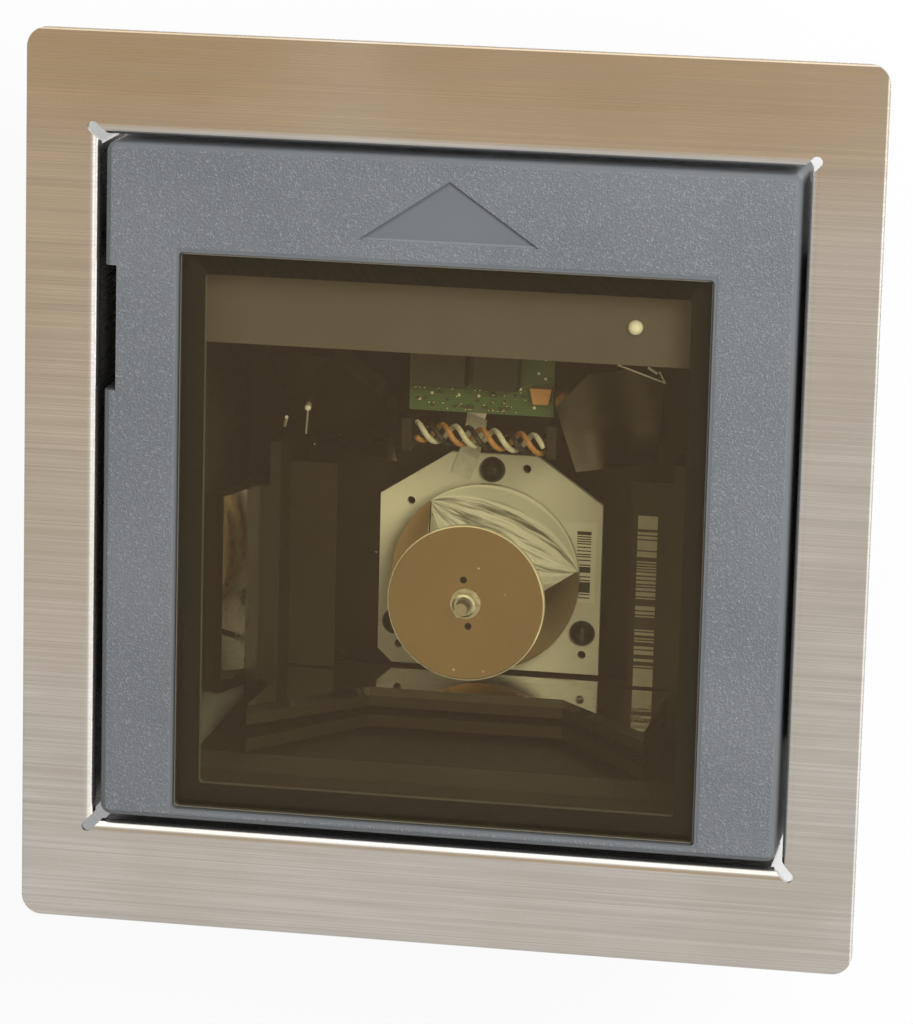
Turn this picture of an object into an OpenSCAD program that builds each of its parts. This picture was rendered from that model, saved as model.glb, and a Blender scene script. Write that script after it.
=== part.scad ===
// In-counter barcode scanner: a square scanner with a flat window, seated in
// a folded sheet-metal counter frame. Millimetres, +Z out of the window, +Y
// towards the arrow on the cover, origin under the middle of the base.

/* [Overall] */
// Height from the base to the top face of the cover
body_h = 98; // [94:0.5:110]
// Width of the cover
cover_w = 152.4; // [148:0.1:158]
// Length of the cover
cover_l = 152.4; // [148:0.1:158]

/* [Counter frame] */
// Width of the counter frame's flange
flange_w = 188; // [180:0.5:200]
// Length of the counter frame's flange
flange_l = 201; // [190:0.5:215]
// Thickness of the frame's sheet
sheet_t = 1.2; // [0.8:0.1:1.6]
// Inner radius of the frame's folds
fold_r = 1.1; // [0.6:0.1:1.6]
// Corner radius of the flange
flange_corner_r = 4.5; // [2:0.5:8]
// Depth from the top face to the seats that carry the scanner
seat_depth = 28; // [24:0.5:32]
// How far each seat reaches inwards
seat_w = 7; // [5.5:0.5:7.5]
// Length of each seat
seat_l = 110; // [60:1:120]
// Width of the diagonal slot in each corner
relief_w = 2.4; // [1.6:0.1:2.8]
// Gap between the frame's walls and the cover
frame_gap = 1.4; // [1:0.1:2]
// Radius of the pressed dimple that steadies the scanner
dimple_r = 4; // [3:0.5:6]
// How far the dimple stands out of the wall
dimple_h = 1; // [0.6:0.1:1]
// Place of the dimple along the right wall
dimple_y = -8; // [-40:1:40]
// Depth of the dimple's middle below the top face
dimple_drop = 8; // [6:0.5:14]

/* [Cover] */
// Wall thickness of the cover
cover_t = 2.5; // [2:0.1:3]
// Corner radius of the cover in plan
cover_corner_r = 2.5; // [2.2:0.1:4]
// Radius of the cover's top edge
cover_edge_r = 1.6; // [0.8:0.1:1.8]
// Width of the arrow on the cover
arrow_w = 39.5; // [30:0.5:45]
// Length of the arrow on the cover
arrow_l = 13.5; // [10:0.5:15]
// Distance from the cover's edge to the arrow's tip
arrow_margin = 5.3; // [4:0.1:6]
// Depth of the arrow
arrow_depth = 0.5; // [0.3:0.1:0.8]
// Length of the notch in the cover's edge
notch_l = 27.9; // [20:0.1:35]
// Depth of the notch into the cover's edge
notch_w = 2.7; // [2:0.1:3]
// Distance from the cover's middle to the notch's middle
notch_y = 34.9; // [25:0.1:45]
// Height of the notch
notch_h = 12; // [8:0.5:14]

/* [Window] */
// Width of the cover's border on the left of the glass
border_left = 16.8; // [16:0.1:20]
// Width of the cover's border on the right of the glass
border_right = 18.2; // [16:0.1:20]
// Width of the cover's border in front of the glass
border_front = 2.85; // [2.8:0.05:6]
// Width of the cover's border behind the glass
border_back = 23.85; // [22:0.05:28]
// Thickness of the window glass
glass_t = 3; // [2.5:0.1:4]
// How far the glass lies below the cover's face
glass_drop = 0.8; // [0.4:0.1:1.2]
// Width of the shelf under the glass
glass_shelf = 5; // [3:0.1:6]
// Thickness of the adhesive tape under the glass
tape_t = 0.4; // [0.2:0.1:0.6]
// Clearance round the glass
glass_gap = 0.2; // [0.1:0.05:0.4]

/* [Bottom housing] */
// Wall thickness of the bottom housing
house_t = 2.5; // [2:0.1:3]
// How far the housing's top stands back from the cover's side
house_inset = 7.2; // [6.8:0.1:7.6]
// How much narrower each side of the base is than the top
house_draft = 3; // [1:0.5:4]
// Corner radius of the bottom housing
house_corner_r = 6; // [4:0.5:8]
// Thickness of the shoulder that rests on the seats
shoulder_t = 3; // [2:0.5:4]
// Height of the rim inside the cover
rim_h = 10; // [6:0.5:14]
// Clearance between the rim and the cover
rim_gap = 0.3; // [0.2:0.05:0.5]
// Distance of the corner screws from the cover's sides
screw_inset = 17.2; // [16.8:0.1:18]
// Height at which the cover's and the housing's pillars meet
pillar_split = 45; // [35:1:60]
// Number of stiffening ribs on each plain side of the housing
rib_count = 5; // [3:1:7]
// Thickness of the stiffening ribs
rib_t = 1.6; // [1:0.1:2.4]
// Spacing of the stiffening ribs
rib_pitch = 21; // [12:0.5:22]

/* [Optics] */
// Sideways place of the spinner's axis
spin_x = 0.5; // [-1:0.1:1]
// Distance of the spinner's axis from the front of the cover
spin_front = 46.2; // [45:0.1:48]
// Height of the chassis floor's top face
deck_z = 20.5; // [18.5:0.5:21]
// Thickness of the chassis's walls and floor
deck_t = 2.5; // [2:0.1:2.6]
// Height of the motor plate's top face
plate_z = 32; // [31:0.1:33]
// Thickness of the motor plate
plate_t = 1.5; // [1:0.1:2]
// Sideways distance of the two front isolators from the spinner's axis
isolator_x = 22.2; // [21.6:0.1:22.4]
// How far the rear isolator lies behind the spinner's axis
isolator_back = 24.3; // [24:0.1:24.6]
// Thickness of the fixed mirrors
mirror_t = 2; // [1.5:0.1:3]
// Length of the side mirrors
side_mirror_l = 46; // [36:1:48]
// Height of the side mirrors' faces
side_mirror_h = 15.4; // [12:0.1:26]
// Lean of the side mirrors from upright
side_mirror_lean = 20; // [16:1:22]
// Height of the front mirror's face in its middle
front_mirror_h = 25.5; // [20:0.5:28]
// Height of the front mirror's face at its two ends
front_mirror_end_h = 55; // [30:0.5:56]
// Length of the low middle part of the front mirror's top edge
front_mirror_flat = 45; // [30:0.5:60]
// Lean of the front mirror's top towards the spinner
front_mirror_lean = 2.7; // [0:0.1:3]
// Angle of the two rear mirrors from the floor
rear_mirror_rise = 54; // [50:1:58]

/* [Spinner] */
// Diameter of the spinner's shaft
shaft_d = 3; // [2:0.1:3.2]
// Radius of the rotor
rotor_r = 22; // [21.5:0.1:22.2]
// Radius of the rotor's cup under its lip
cup_r = 20.2; // [19.6:0.1:20.6]
// Height of the rotor's top face above the motor plate
rotor_rise = 6.5; // [6:0.1:7]
// Distance from the axis to the three outer corners of the facets
facet_corner_r = 21.8; // [20:0.1:22]
// Height of the facets
facet_h = 24.9; // [20:0.1:27]
// Thickness of the facet mirrors
facet_t = 2; // [1:0.1:2.5]
// Radius of the spinner's cap
cap_r = 18; // [16:0.1:20]
// Thickness of the spinner's cap
cap_t = 1.6; // [1:0.1:2.5]
// Turn of the spinner at rest
spin_turn = 67.2; // [0:0.1:120]
// Running clearance round the shaft
run_gap = 0.05; // [0.02:0.01:0.08]

/* [Electronics] */
// Height of the main board's underside
board_z = 58; // [57:0.5:60]
// Thickness of the circuit boards
board_t = 1.6; // [1:0.1:2]
// Depth of the electronics cover below the cover's face
shroud_drop = 11; // [9:0.5:14]
// Thickness of the electronics cover
shroud_t = 1.6; // [1.2:0.1:2]
// Radius of each lead's insulation
lead_r = 0.65; // [0.5:0.05:0.8]
// Radius of the twist of the three leads
twist_r = 2; // [1.6:0.1:2.2]
// Length of one turn of the twist
twist_pitch = 9; // [7:0.5:12]

/* [Hidden] */
$fn = 48;
eps = 0.01;

// Levels shared by the outer pieces
seat_z = body_h - seat_depth;
shoulder_top = seat_z + shoulder_t;
cover_ceiling = body_h - cover_t;
glass_top = body_h - glass_drop;
glass_bottom = glass_top - glass_t;
shelf_top = glass_bottom - tape_t;
shelf_t = 1.6;
glass_w = cover_w - border_left - border_right;
glass_l = cover_l - border_front - border_back;
glass_x = (border_left - border_right) / 2;
glass_y = (border_front - border_back) / 2;
glass_corner_r = 1;
glass_bevel = 0.5;
window_ring = 3;
shelf_bottom = shelf_top - shelf_t;

// Plan sizes shared by the outer pieces
open_w = cover_w + 2 * frame_gap;
open_l = cover_l + 2 * frame_gap;
bend_r = fold_r + sheet_t;
relief_back = 0.8;
wall_cut = 5.6;
house_w = cover_w - 2 * house_inset;
house_l = cover_l - 2 * house_inset;
base_w = house_w - 2 * house_draft;
base_l = house_l - 2 * house_draft;
rim_w = cover_w - 2 * (cover_t + rim_gap);
rim_l = cover_l - 2 * (cover_t + rim_gap);
shoulder_back = 0.3;
rib_z0 = 5;
rib_z1 = seat_z - sheet_t - 5;
rib_out = 1.2;
port_gap = 0.4;

// Screws that hold the housing together
screw_r = 1.45;
screw_hole_r = 1.7;
screw_pilot_r = 1.5;
screw_head_r = 2.75;
screw_head_h = 2.4;
screw_recess_r = 3.1;
screw_recess = 6;
screw_bite = 12;
cross_l = 3.2;
cross_w = 0.7;
cross_depth = 1.2;
chassis_screw_bite = 7;
pillar_r = 4.2;
pillar_foot_r = 5.2;
pillar_foot_h = 9;
screw_x = cover_w / 2 - screw_inset;
screw_y = cover_l / 2 - screw_inset;
screw_places = [[screw_x, screw_y], [-screw_x, screw_y], [-screw_x, -screw_y], [screw_x, -screw_y]];

// The chassis: a deck on four posts, two long rails and seats for the mirrors
deck_under = deck_z - deck_t;
deck_gap = 7.5;
deck_front_gap = 7;
deck_back_gap = 15;
deck_w = house_w - 2 * (house_t + deck_gap);
deck_front = deck_front_gap - house_l / 2;
deck_back = house_l / 2 - deck_back_gap;
deck_post_r = 4;
deck_post_inset = 21;
deck_post_x = deck_w / 2 - deck_post_inset;
deck_places = [for (x = [-1, 1], y = [deck_front + 6, deck_back - 8]) [x * deck_post_x, y]];
spin_y = spin_front - cover_l / 2;
rear_mirror_behind = 27.8;
front_mirror_ahead = 23.9;
rail_inset = 13.5;
rail_past_mirror = 4.2;
rail_x = deck_w / 2 - rail_inset;
label_shelf_z = 40;
rail_front = deck_front;
rail_back = spin_y + rear_mirror_behind + rail_past_mirror;
rail_lip = 11;
rail_lip_t = 1.6;
side_shelf_z = 52.2;
side_mirror_front = spin_y - side_mirror_l / 2 - 1.4;
side_foot_x = rail_x + deck_t + 2.3;
side_mirror_below = 4;

// Rear mirrors: their lower edges and the width and outline of the glass
rear_mirror_inset = 15.2;
rear_mirror_x = rail_x - rear_mirror_inset;
rear_mirror_y = spin_y + rear_mirror_behind;
rear_mirror_z = 38;
rear_mirror_yaw = 10;
rear_outline = [[-9.5, 0], [9.5, 0], [19, 40.5], [12, 49], [3.5, 49], [-7, 34.5]];
rear_rib_t = 3;
rear_rib_x = [-9, 7];
rear_rib_foot = 12;
rear_seat_l = 44;
rear_rib_reach = 0.6;

// Front mirror: stands in front of the motor plate, low in its middle
front_mirror_gap = 0.5;
front_mirror_w = 2 * (rail_x - front_mirror_gap);
front_mirror_y = spin_y - front_mirror_ahead;
front_mirror_z = 33;
front_outline = [[-front_mirror_w / 2, 0], [front_mirror_w / 2, 0],
    [front_mirror_w / 2, front_mirror_end_h], [front_mirror_flat / 2, front_mirror_h],
    [-front_mirror_flat / 2, front_mirror_h], [-front_mirror_w / 2, front_mirror_end_h]];
front_leg_x = 24.5;
front_leg_t = 2.5;
front_wall_t = 2.8;
lip_front = front_mirror_y + 0.7;
lip_back = rear_mirror_y - 2.5;

// Motor plate: an outline with four cut corners, round the spinner's axis
plate_left = -26.2;
plate_right = 26.2;
plate_back = 28;
plate_front = -23.2;
plate_outline = [[-9.6, plate_back], [10.6, plate_back], [plate_right, 17.2], [plate_right, plate_front],
    [-22.8, plate_front], [plate_left, plate_front + 3.2], [plate_left, 17.2]];
plate_small_holes = [[8.1, 24.9], [-19, 15.8], [isolator_x, -18.6], [-21.2, -18.7]];
plate_small_r = 1;
isolator_r = 3.1;
isolator_foot_r = 3.6;
isolator_waist_r = 1.9;
isolator_dome = 2.6;
isolator_foot_t = 1.8;
isolator_front = 13.4;
isolator_places = [[0, isolator_back], [isolator_x, -isolator_front], [-isolator_x, -isolator_front]];
plate_under = plate_z - plate_t;

// Motor: sleeve, stator and rotor
shaft_r = shaft_d / 2;
sleeve_r = 4.5;
sleeve_flange_r = 7;
sleeve_flange_t = 1;
sleeve_bottom = deck_z + 2;
thrust_t = 1.2;
rotor_top = plate_z + rotor_rise;
cup_t = 1;
lip_t = 1.8;
cup_bottom = plate_z + 1;
cup_ceiling = rotor_top - cup_t;
sleeve_top = cup_ceiling - 0.7;
stator_z = plate_z + sleeve_flange_t;
stator_hub_r = 7;
core_z = stator_z + 1.2;
core_t = 1.6;
stator_teeth = 6;
tooth_w = 3;
tooth_tip_r = 15.5;
tooth_tip_t = 1.5;
magnet_r = tooth_tip_r + 0.7;
coil_w = 6.4;
coil_h = core_t + 1.6;
coil_start = 8;
coil_end = tooth_tip_r - tooth_tip_t - 0.6;

// Spinner: a three-sided core with a mirror on each side, under a round cap
facets = 3;
facet_tilt = [7.4, 6.6, 8.2];
facet_in_r = facet_corner_r * cos(180 / facets);
cap_z = rotor_top + facet_h;
cap_top = cap_z + cap_t;
cap_hole_r = 0.8;
cap_hole_pitch = 5.4;
cap_hole_turn = 97;
washer_r = 3.5;
washer_t = 0.5;
nut_flats = 5.5;
nut_h = 2.4;
shaft_top = cap_top + 7;
shaft_bottom = sleeve_bottom + 0.1;

// Boards and what they carry
board_x = 2;
board_gap = 13.8;
board_behind = 43;
board_back_gap = 9;
board_w = 2 * (rear_mirror_x - board_gap);
board_x0 = board_x - board_w / 2;
board_x1 = board_x + board_w / 2;
board_y0 = spin_y + board_behind;
board_y1 = house_l / 2 - board_back_gap;
board_top = board_z + board_t;
board_post_r = 2.2;
connector_y = board_y0 + 6.4;
connector_l = 12;
connector_h = 6;
motor_connector_w = (board_w - 9) / 2;
sensor_connector_w = (board_w - 13) / 2;
connector_edge = 1.5;
capacitor_x = board_x1 - 2.7;
capacitor_y = board_y0 + 5;
capacitor_l = 3.6;
capacitor_h = 2.6;
photodiode_x = board_x + 4.5;
photodiode_y = board_y0 + 1.2;
photodiode_w = 6;
photodiode_l = 3.2;
photodiode_h = 5;
laser_z = rotor_top + facet_h / 2;
laser_r = 4;
laser_back = 14;
laser_y = deck_back - laser_back;
laser_l = 16;
laser_hole_r = 1.4;
bracket_w = 14;
bracket_l = 8;
bracket_y = laser_y + 5.5;
collector_w = 44;
collector_top = 4;
collector_web = 2.4;
collector_y = laser_y - 2;
board_posts = [for (x = [board_x0 + 3, board_x1 - 6], y = [board_y0 + 7, collector_y - 4]) [x, y]];
collector_t = 4;
collector_curve = 150;
shroud_top = body_h - shroud_drop;
shroud_under = shroud_top - shroud_t;
shroud_gap = 8;
shroud_w = house_w - 2 * (house_t + shroud_gap);
shroud_back = deck_back - 2;
shroud_l = 21;
shroud_front = shroud_back - shroud_l;
lens_inset = 18.5;
lens_x = shroud_w / 2 - lens_inset;
lens_y = shroud_front + 8.4;
lens_r = 1.7;
lens_stem = 5;
lens_gap = 0.05;
shroud_leg_t = 2;
shroud_leg_inset = 4;
status_board_z = shroud_under - 9.4;
status_led_w = 3;
status_board_l = 10;
status_board_x1 = 8;
status_pin_x = 5;
status_pin_y = 3;
status_pin_r = 1.4;
port_board_z = 4.2;
port_board_l = 32;
port_board_y1 = base_l / 2 - house_t - 1.5;
port_board_y0 = port_board_y1 - port_board_l;
port_post_y = [port_board_y0 + 4, port_board_y1 - 10];
port_post_r = 2.5;
port_board_top = port_board_z + board_t;
port_face_y = base_l / 2 + house_draft * (port_board_top / seat_z) - 0.6;
data_port_x = -12;
data_port_w = 16;
data_port_h = 11.5;
data_port_l = 15;
socket_w = 11.8;
socket_h = 7.2;
socket_l = 12;
socket_floor = 1.5;
key_w = 6;
key_h = 1.7;
power_port_x = 11;
power_port_w = 9;
power_port_h = 11;
power_port_l = 13;
power_bore_r = 3.2;
power_bore_l = 10;
power_pin_r = 1;
port_board_left = 14;
port_board_right = 12;
port_board_x0 = data_port_x - port_board_left;
port_board_x1 = power_port_x + port_board_right;
link_y = board_y1 - 2.8;
link_w = 9;
link_x = 1.2;
link_t = 0.9;
beeper_x = 10 - deck_w / 2;
beeper_back = 30;
beeper_y = deck_back - beeper_back;
beeper_r = 7;
beeper_h = 9;
beeper_hole_r = 1.2;

// Leads: three strands twisted round one line behind the motor
lead_x0 = board_x0 + 1.7;
lead_x1 = board_x1 - 1.9;
lead_y = board_y0 - 5.2;
lead_count = 3;
lead_z = board_z + 0.2;
lead_slope = -1.6;
lead_sides = 8;
lead_rings = 40;
lead_rib_t = 2.2;
lead_end_gap = 0.8;
lead_rib_front = 4;
lead_rib_rise = 3.4;
lead_rib_x = [lead_x0 - lead_end_gap - lead_rib_t, lead_x1 + lead_end_gap];

// Ribbon from under the main board to the motor plate
ribbon_w = 4.8;
ribbon_t = 0.3;
ribbon_x = board_x - 6.2;
ribbon_behind = 30;
ribbon_y = spin_y + ribbon_behind;
ribbon_turn = -20;
ribbon_seat = 0.25;
ribbon_fall = [[16, 0.015], [14, 0.019], [12.6, 0.062], [12, 0.154], [10.8, 0.308], [8.4, 0.481],
    [4.8, 0.654], [1.4, 0.808], [-0.6, 0.938]];
ribbon_path = concat([for (p = ribbon_fall) [p[0], board_z - p[1] * (board_z - plate_z)]],
    [[-2.6, plate_z + 2 * ribbon_seat], [-5, plate_z + ribbon_seat], [-8, plate_z + ribbon_seat]]);

cover_gray = [0.43, 0.45, 0.47];
steel = [0.72, 0.68, 0.6];
black_plastic = [0.09, 0.09, 0.09];
shroud_khaki = [0.42, 0.39, 0.31];
copper_tan = [0.72, 0.52, 0.32];
mirror_silver = [0.8, 0.81, 0.82];
plate_white = [0.8, 0.8, 0.74];
board_green = [0.12, 0.32, 0.16];

// Plan outline with round corners, centred
module round_plan(w, l, r) {
    if (r > 0) {
        square([w - 2 * r, l], center = true);
        square([w, l - 2 * r], center = true);
        for (x = [-1, 1], y = [-1, 1])
            translate([x * (w / 2 - r), y * (l / 2 - r)]) circle(r);
    } else {
        square([w, l], center = true);
    }
}

// Slab with round corners between two heights
module slab(w, l, r, z0, z1) {
    translate([0, 0, z0]) linear_extrude(z1 - z0) round_plan(w, l, r);
}

// Box between two corners
module block(low, high) {
    translate(low) cube(high - low);
}

// Block with round corners in plan and a round top edge
module soft_block(w, l, z0, z1, rc, re) {
    h = z1 - z0;
    module bar(width, run) {
        rotate([90, 0, 0]) translate([0, 0, -run / 2]) linear_extrude(run) {
            translate([-width / 2, 0]) square([width, h - re]);
            translate([-width / 2 + re, 0]) square([width - 2 * re, h]);
            for (s = [-1, 1]) translate([s * (width / 2 - re), h - re]) circle(re);
        }
    }
    translate([0, 0, z0]) {
        bar(w, l - 2 * rc);
        rotate([0, 0, 90]) bar(l, w - 2 * rc);
        for (x = [-1, 1], y = [-1, 1])
            translate([x * (w / 2 - rc), y * (l / 2 - rc), 0]) rotate_extrude() {
                square([rc, h - re]);
                square([rc - re, h]);
                translate([rc - re, h - re]) intersection() {
                    circle(re);
                    square(re);
                }
            }
    }
}

// One folded side of the frame: its fold and wall, seen end on.
// x runs outwards from the opening's wall face, y is height above the seat.
module fold_profile(depth) {
    square_h = depth - bend_r;
    square([sheet_t, square_h]);
    translate([bend_r, square_h]) intersection() {
        difference() {
            circle(bend_r);
            circle(fold_r);
        }
        translate([-bend_r, 0]) square(bend_r);
    }
}

// A folded side, cut off along the corner diagonals, with its seat if it has one
module frame_side(half, run, seated) {
    wall_end = run / 2 - relief_w;
    wall_bottom = seated ? seat_z - sheet_t : seat_z;
    fold_end = run / 2 + bend_r;
    cut = relief_w / 2 * sqrt(2);
    intersection() {
        translate([half, 0, wall_bottom]) rotate([90, 0, 0])
            translate([0, 0, -fold_end]) linear_extrude(2 * fold_end) fold_profile(body_h - wall_bottom);
        union() {
            translate([half, 0, body_h - bend_r]) linear_extrude(bend_r)
                polygon([[0, cut - run / 2], [bend_r, cut - fold_end],
                    [bend_r, fold_end - cut], [0, run / 2 - cut]]);
            rotate([90, 0, 90]) translate([0, 0, half]) linear_extrude(bend_r)
                difference() {
                    translate([-wall_end, wall_bottom])
                        square([2 * wall_end, body_h - bend_r - wall_bottom + eps]);
                    for (s = [-1, 1]) translate([s * wall_end, wall_bottom]) rotate([0, 0, 45])
                        square(wall_cut * sqrt(2), center = true);
                }
        }
    }
    if (seated) translate([half + sheet_t, 0, seat_z - sheet_t]) rotate([0, 0, 180])
        translate([0, -seat_l / 2, 0]) cube([seat_w + sheet_t, seat_l, sheet_t]);
}

// Sheet-metal frame that drops into the counter's cut-out
module mounting_frame() {
    color(steel) {
        difference() {
            slab(flange_w, flange_l, flange_corner_r, body_h - sheet_t, body_h);
            translate([0, 0, body_h - 2 * sheet_t]) linear_extrude(3 * sheet_t) {
                square([open_w + 2 * bend_r, open_l + 2 * bend_r], center = true);
                for (x = [-1, 1], y = [-1, 1])
                    translate([x * (open_w / 2 + bend_r - relief_back),
                        y * (open_l / 2 + bend_r - relief_back)]) circle(relief_w / 2);
            }
        }
        for (turn = [0, 180]) rotate([0, 0, turn]) {
            frame_side(open_w / 2, open_l, true);
            rotate([0, 0, 90]) frame_side(open_l / 2, open_w, false);
        }
        intersection() {
            translate([open_w / 2 + dimple_r - dimple_h, dimple_y, body_h - dimple_drop]) sphere(dimple_r);
            translate([open_w / 2 - dimple_h, dimple_y - dimple_r, body_h - dimple_drop - dimple_r])
                cube([dimple_h + sheet_t / 2, 2 * dimple_r, 2 * dimple_r]);
        }
    }
}

module arrow_plan() {
    tip = cover_l / 2 - arrow_margin;
    polygon([[0, tip], [-arrow_w / 2, tip - arrow_l], [arrow_w / 2, tip - arrow_l]]);
}

// Grey cover with the window's seat, four screw pillars and a deep skirt
module top_cover() {
    color(cover_gray) difference() {
        union() {
            difference() {
                soft_block(cover_w, cover_l, shoulder_top, body_h, cover_corner_r, cover_edge_r);
                translate([0, 0, shoulder_top - eps]) linear_extrude(cover_ceiling - shoulder_top + eps)
                    square([cover_w - 2 * cover_t, cover_l - 2 * cover_t], center = true);
                block([-cover_w / 2 - 1, notch_y - notch_l / 2, body_h - notch_h],
                    [-cover_w / 2 + notch_w, notch_y + notch_l / 2, body_h + 1]);
            }
            block([-cover_w / 2 + notch_w, notch_y - notch_l / 2 - cover_t, body_h - notch_h - cover_t],
                [-cover_w / 2 + notch_w + cover_t, notch_y + notch_l / 2 + cover_t, cover_ceiling + eps]);
            intersection() {
                translate([glass_x, glass_y, 0])
                    slab(glass_w + 2 * window_ring, glass_l + 2 * window_ring, 0, shelf_bottom,
                        cover_ceiling + eps);
                slab(cover_w - cover_t, cover_l - cover_t, 0, shelf_bottom, cover_ceiling + eps);
            }
            for (p = screw_places) translate([p[0], p[1], pillar_split])
                cylinder(h = cover_ceiling - pillar_split + eps, r = pillar_r);
        }
        translate([glass_x, glass_y, 0]) {
            slab(glass_w + 2 * glass_gap, glass_l + 2 * glass_gap, glass_corner_r, shelf_top, body_h + 1);
            slab(glass_w - 2 * glass_shelf, glass_l - 2 * glass_shelf, glass_corner_r, shelf_bottom - 1,
                body_h + 1);
        }
        translate([0, 0, body_h - arrow_depth]) linear_extrude(arrow_depth + 1) arrow_plan();
        for (p = screw_places) translate([p[0], p[1], pillar_split - eps])
            cylinder(h = screw_bite + 2, r = screw_pilot_r);
    }
}

module window_glass() {
    edge = glass_bevel * sqrt(2);
    color([0.3, 0.22, 0.14, 0.5]) translate([glass_x, glass_y, 0]) difference() {
        slab(glass_w, glass_l, glass_corner_r, glass_bottom, glass_top);
        for (s = [-1, 1]) {
            translate([s * glass_w / 2, 0, glass_top]) rotate([0, 45, 0])
                cube([edge, glass_l + 1, edge], center = true);
            translate([0, s * glass_l / 2, glass_top]) rotate([45, 0, 0])
                cube([glass_w + 1, edge, edge], center = true);
        }
    }
}

module window_tape() {
    color([0.06, 0.05, 0.05]) translate([glass_x, glass_y, 0]) difference() {
        slab(glass_w, glass_l, glass_corner_r, shelf_top, glass_bottom);
        slab(glass_w - 2 * glass_shelf, glass_l - 2 * glass_shelf, glass_corner_r, shelf_top - 1,
            glass_bottom + 1);
    }
}

// Tapered tub: two thin plans joined by a hull
module tapered(w0, l0, w1, l1, r, z0, z1) {
    hull() {
        translate([0, 0, z0]) linear_extrude(eps) round_plan(w0, l0, r, $fn = 32);
        translate([0, 0, z1 - eps]) linear_extrude(eps) round_plan(w1, l1, r, $fn = 32);
    }
}

// Stiffening ribs down one drafted side; half is the base's half width there
module side_ribs(half) {
    lean = house_draft / shoulder_top;
    for (i = [0:rib_count - 1]) translate([0, (i - (rib_count - 1) / 2) * rib_pitch + rib_t / 2, 0])
        rotate([90, 0, 0]) linear_extrude(rib_t) polygon([
            [half - 1, rib_z0], [half + lean * rib_z0 + 0.2, rib_z0],
            [half + lean * (rib_z0 + 3) + rib_out, rib_z0 + 3], [half + lean * rib_z1 + rib_out, rib_z1],
            [half + lean * (rib_z1 + 3), rib_z1 + 3], [half - 1, rib_z1]]);
}

// Hole through the drafted back wall for a port of width w and height h
module port_hole(x, w, h) {
    block([x - w / 2 - port_gap, base_l / 2 - house_t - 1, port_board_top - port_gap],
        [x + w / 2 + port_gap, house_l / 2 + 1, port_board_top + h + port_gap]);
}

// Bottom housing: shoulder, rim, screw pillars, posts and the port holes
module bottom_housing() {
    inner_r = house_corner_r - house_t;
    color(black_plastic) difference() {
        union() {
            difference() {
                union() {
                    tapered(base_w, base_l, house_w, house_l, house_corner_r, 0, shoulder_top);
                    slab(cover_w - 2 * shoulder_back, cover_l - 2 * shoulder_back, cover_corner_r, seat_z,
                        shoulder_top);
                    slab(rim_w, rim_l, cover_corner_r, shoulder_top - eps, shoulder_top + rim_h);
                    for (turn = [0, 180]) rotate([0, 0, turn]) side_ribs(base_w / 2);
                    rotate([0, 0, -90]) side_ribs(base_l / 2);
                }
                tapered(base_w - 2 * house_t, base_l - 2 * house_t, house_w - 2 * house_t,
                    house_l - 2 * house_t, inner_r, house_t, shoulder_top + 2 * eps);
                slab(rim_w - 2 * house_t, rim_l - 2 * house_t, cover_corner_r / 2,
                    shoulder_top, shoulder_top + rim_h + 1);
            }
            for (p = screw_places) translate([p[0], p[1], house_t - eps])
                cylinder(h = pillar_split - house_t + eps, r = pillar_r);
            for (p = screw_places) translate([p[0], p[1], 0]) cylinder(h = pillar_foot_h, r = pillar_foot_r);
            for (p = deck_places) translate([p[0], p[1], house_t - eps])
                cylinder(h = deck_under - house_t + eps, r = deck_post_r);
            for (x = [port_board_x0 + 4, port_board_x1 - 4], y = port_post_y)
                translate([x, y, house_t - eps]) cylinder(h = port_board_z - house_t + eps, r = port_post_r);
        }
        for (p = screw_places) translate([p[0], p[1], 0]) {
            translate([0, 0, -1]) cylinder(h = screw_recess + 1, r = screw_recess_r);
            cylinder(h = pillar_split + 1, r = screw_hole_r);
        }
        for (p = deck_places) translate([p[0], p[1], deck_under - chassis_screw_bite - 2])
            cylinder(h = chassis_screw_bite + 3, r = screw_pilot_r);
        port_hole(data_port_x, data_port_w, data_port_h);
        port_hole(power_port_x, power_port_w, power_port_h);
    }
}

// Pan-head screw pointing up, its head's seat at z = 0
module screw(length) {
    translate([0, 0, -screw_head_h]) difference() {
        cylinder(h = screw_head_h, r = screw_head_r);
        for (a = [0, 90]) rotate([0, 0, a])
            block([-cross_l / 2, -cross_w / 2, -1], [cross_l / 2, cross_w / 2, cross_depth]);
    }
    translate([0, 0, -eps]) cylinder(h = length + eps, r = screw_r);
}

module housing_screws() {
    color("silver") for (p = screw_places) translate([p[0], p[1], screw_recess])
        screw(pillar_split + screw_bite - screw_recess);
}

module chassis_screws() {
    color("silver") for (p = deck_places) translate([p[0], p[1], deck_z]) rotate([180, 0, 0])
        screw(deck_t + chassis_screw_bite);
}

// Frame of a side mirror: local x points outwards, z = 0 at the mirror's lower edge
module side_mirror_place() {
    translate([side_foot_x, side_mirror_front, side_shelf_z]) rotate([0, side_mirror_lean, 0]) children();
}

// Rail, shelves and leaning seat on one side of the chassis
module side_seat() {
    block([rail_x, rail_front, deck_z - eps], [rail_x + deck_t, rail_back, side_shelf_z]);
    block([rail_x - rail_lip, lip_front, label_shelf_z - rail_lip_t],
        [rail_x + eps, lip_back, label_shelf_z]);
    foot = side_foot_x + mirror_t / cos(side_mirror_lean);
    block([rail_x + deck_t - eps, side_mirror_front, side_shelf_z - deck_t],
        [foot + deck_t, side_mirror_front + side_mirror_l, side_shelf_z]);
    block([foot, side_mirror_front, deck_z - eps],
        [foot + deck_t, side_mirror_front + side_mirror_l, side_shelf_z]);
    intersection() {
        side_mirror_place() translate([mirror_t, 0, -2 * side_mirror_below])
            cube([deck_t, side_mirror_l, side_mirror_h + 2 * side_mirror_below]);
        block([0, -cover_l, side_shelf_z - eps], [cover_w, cover_l, body_h]);
    }
}

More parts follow.
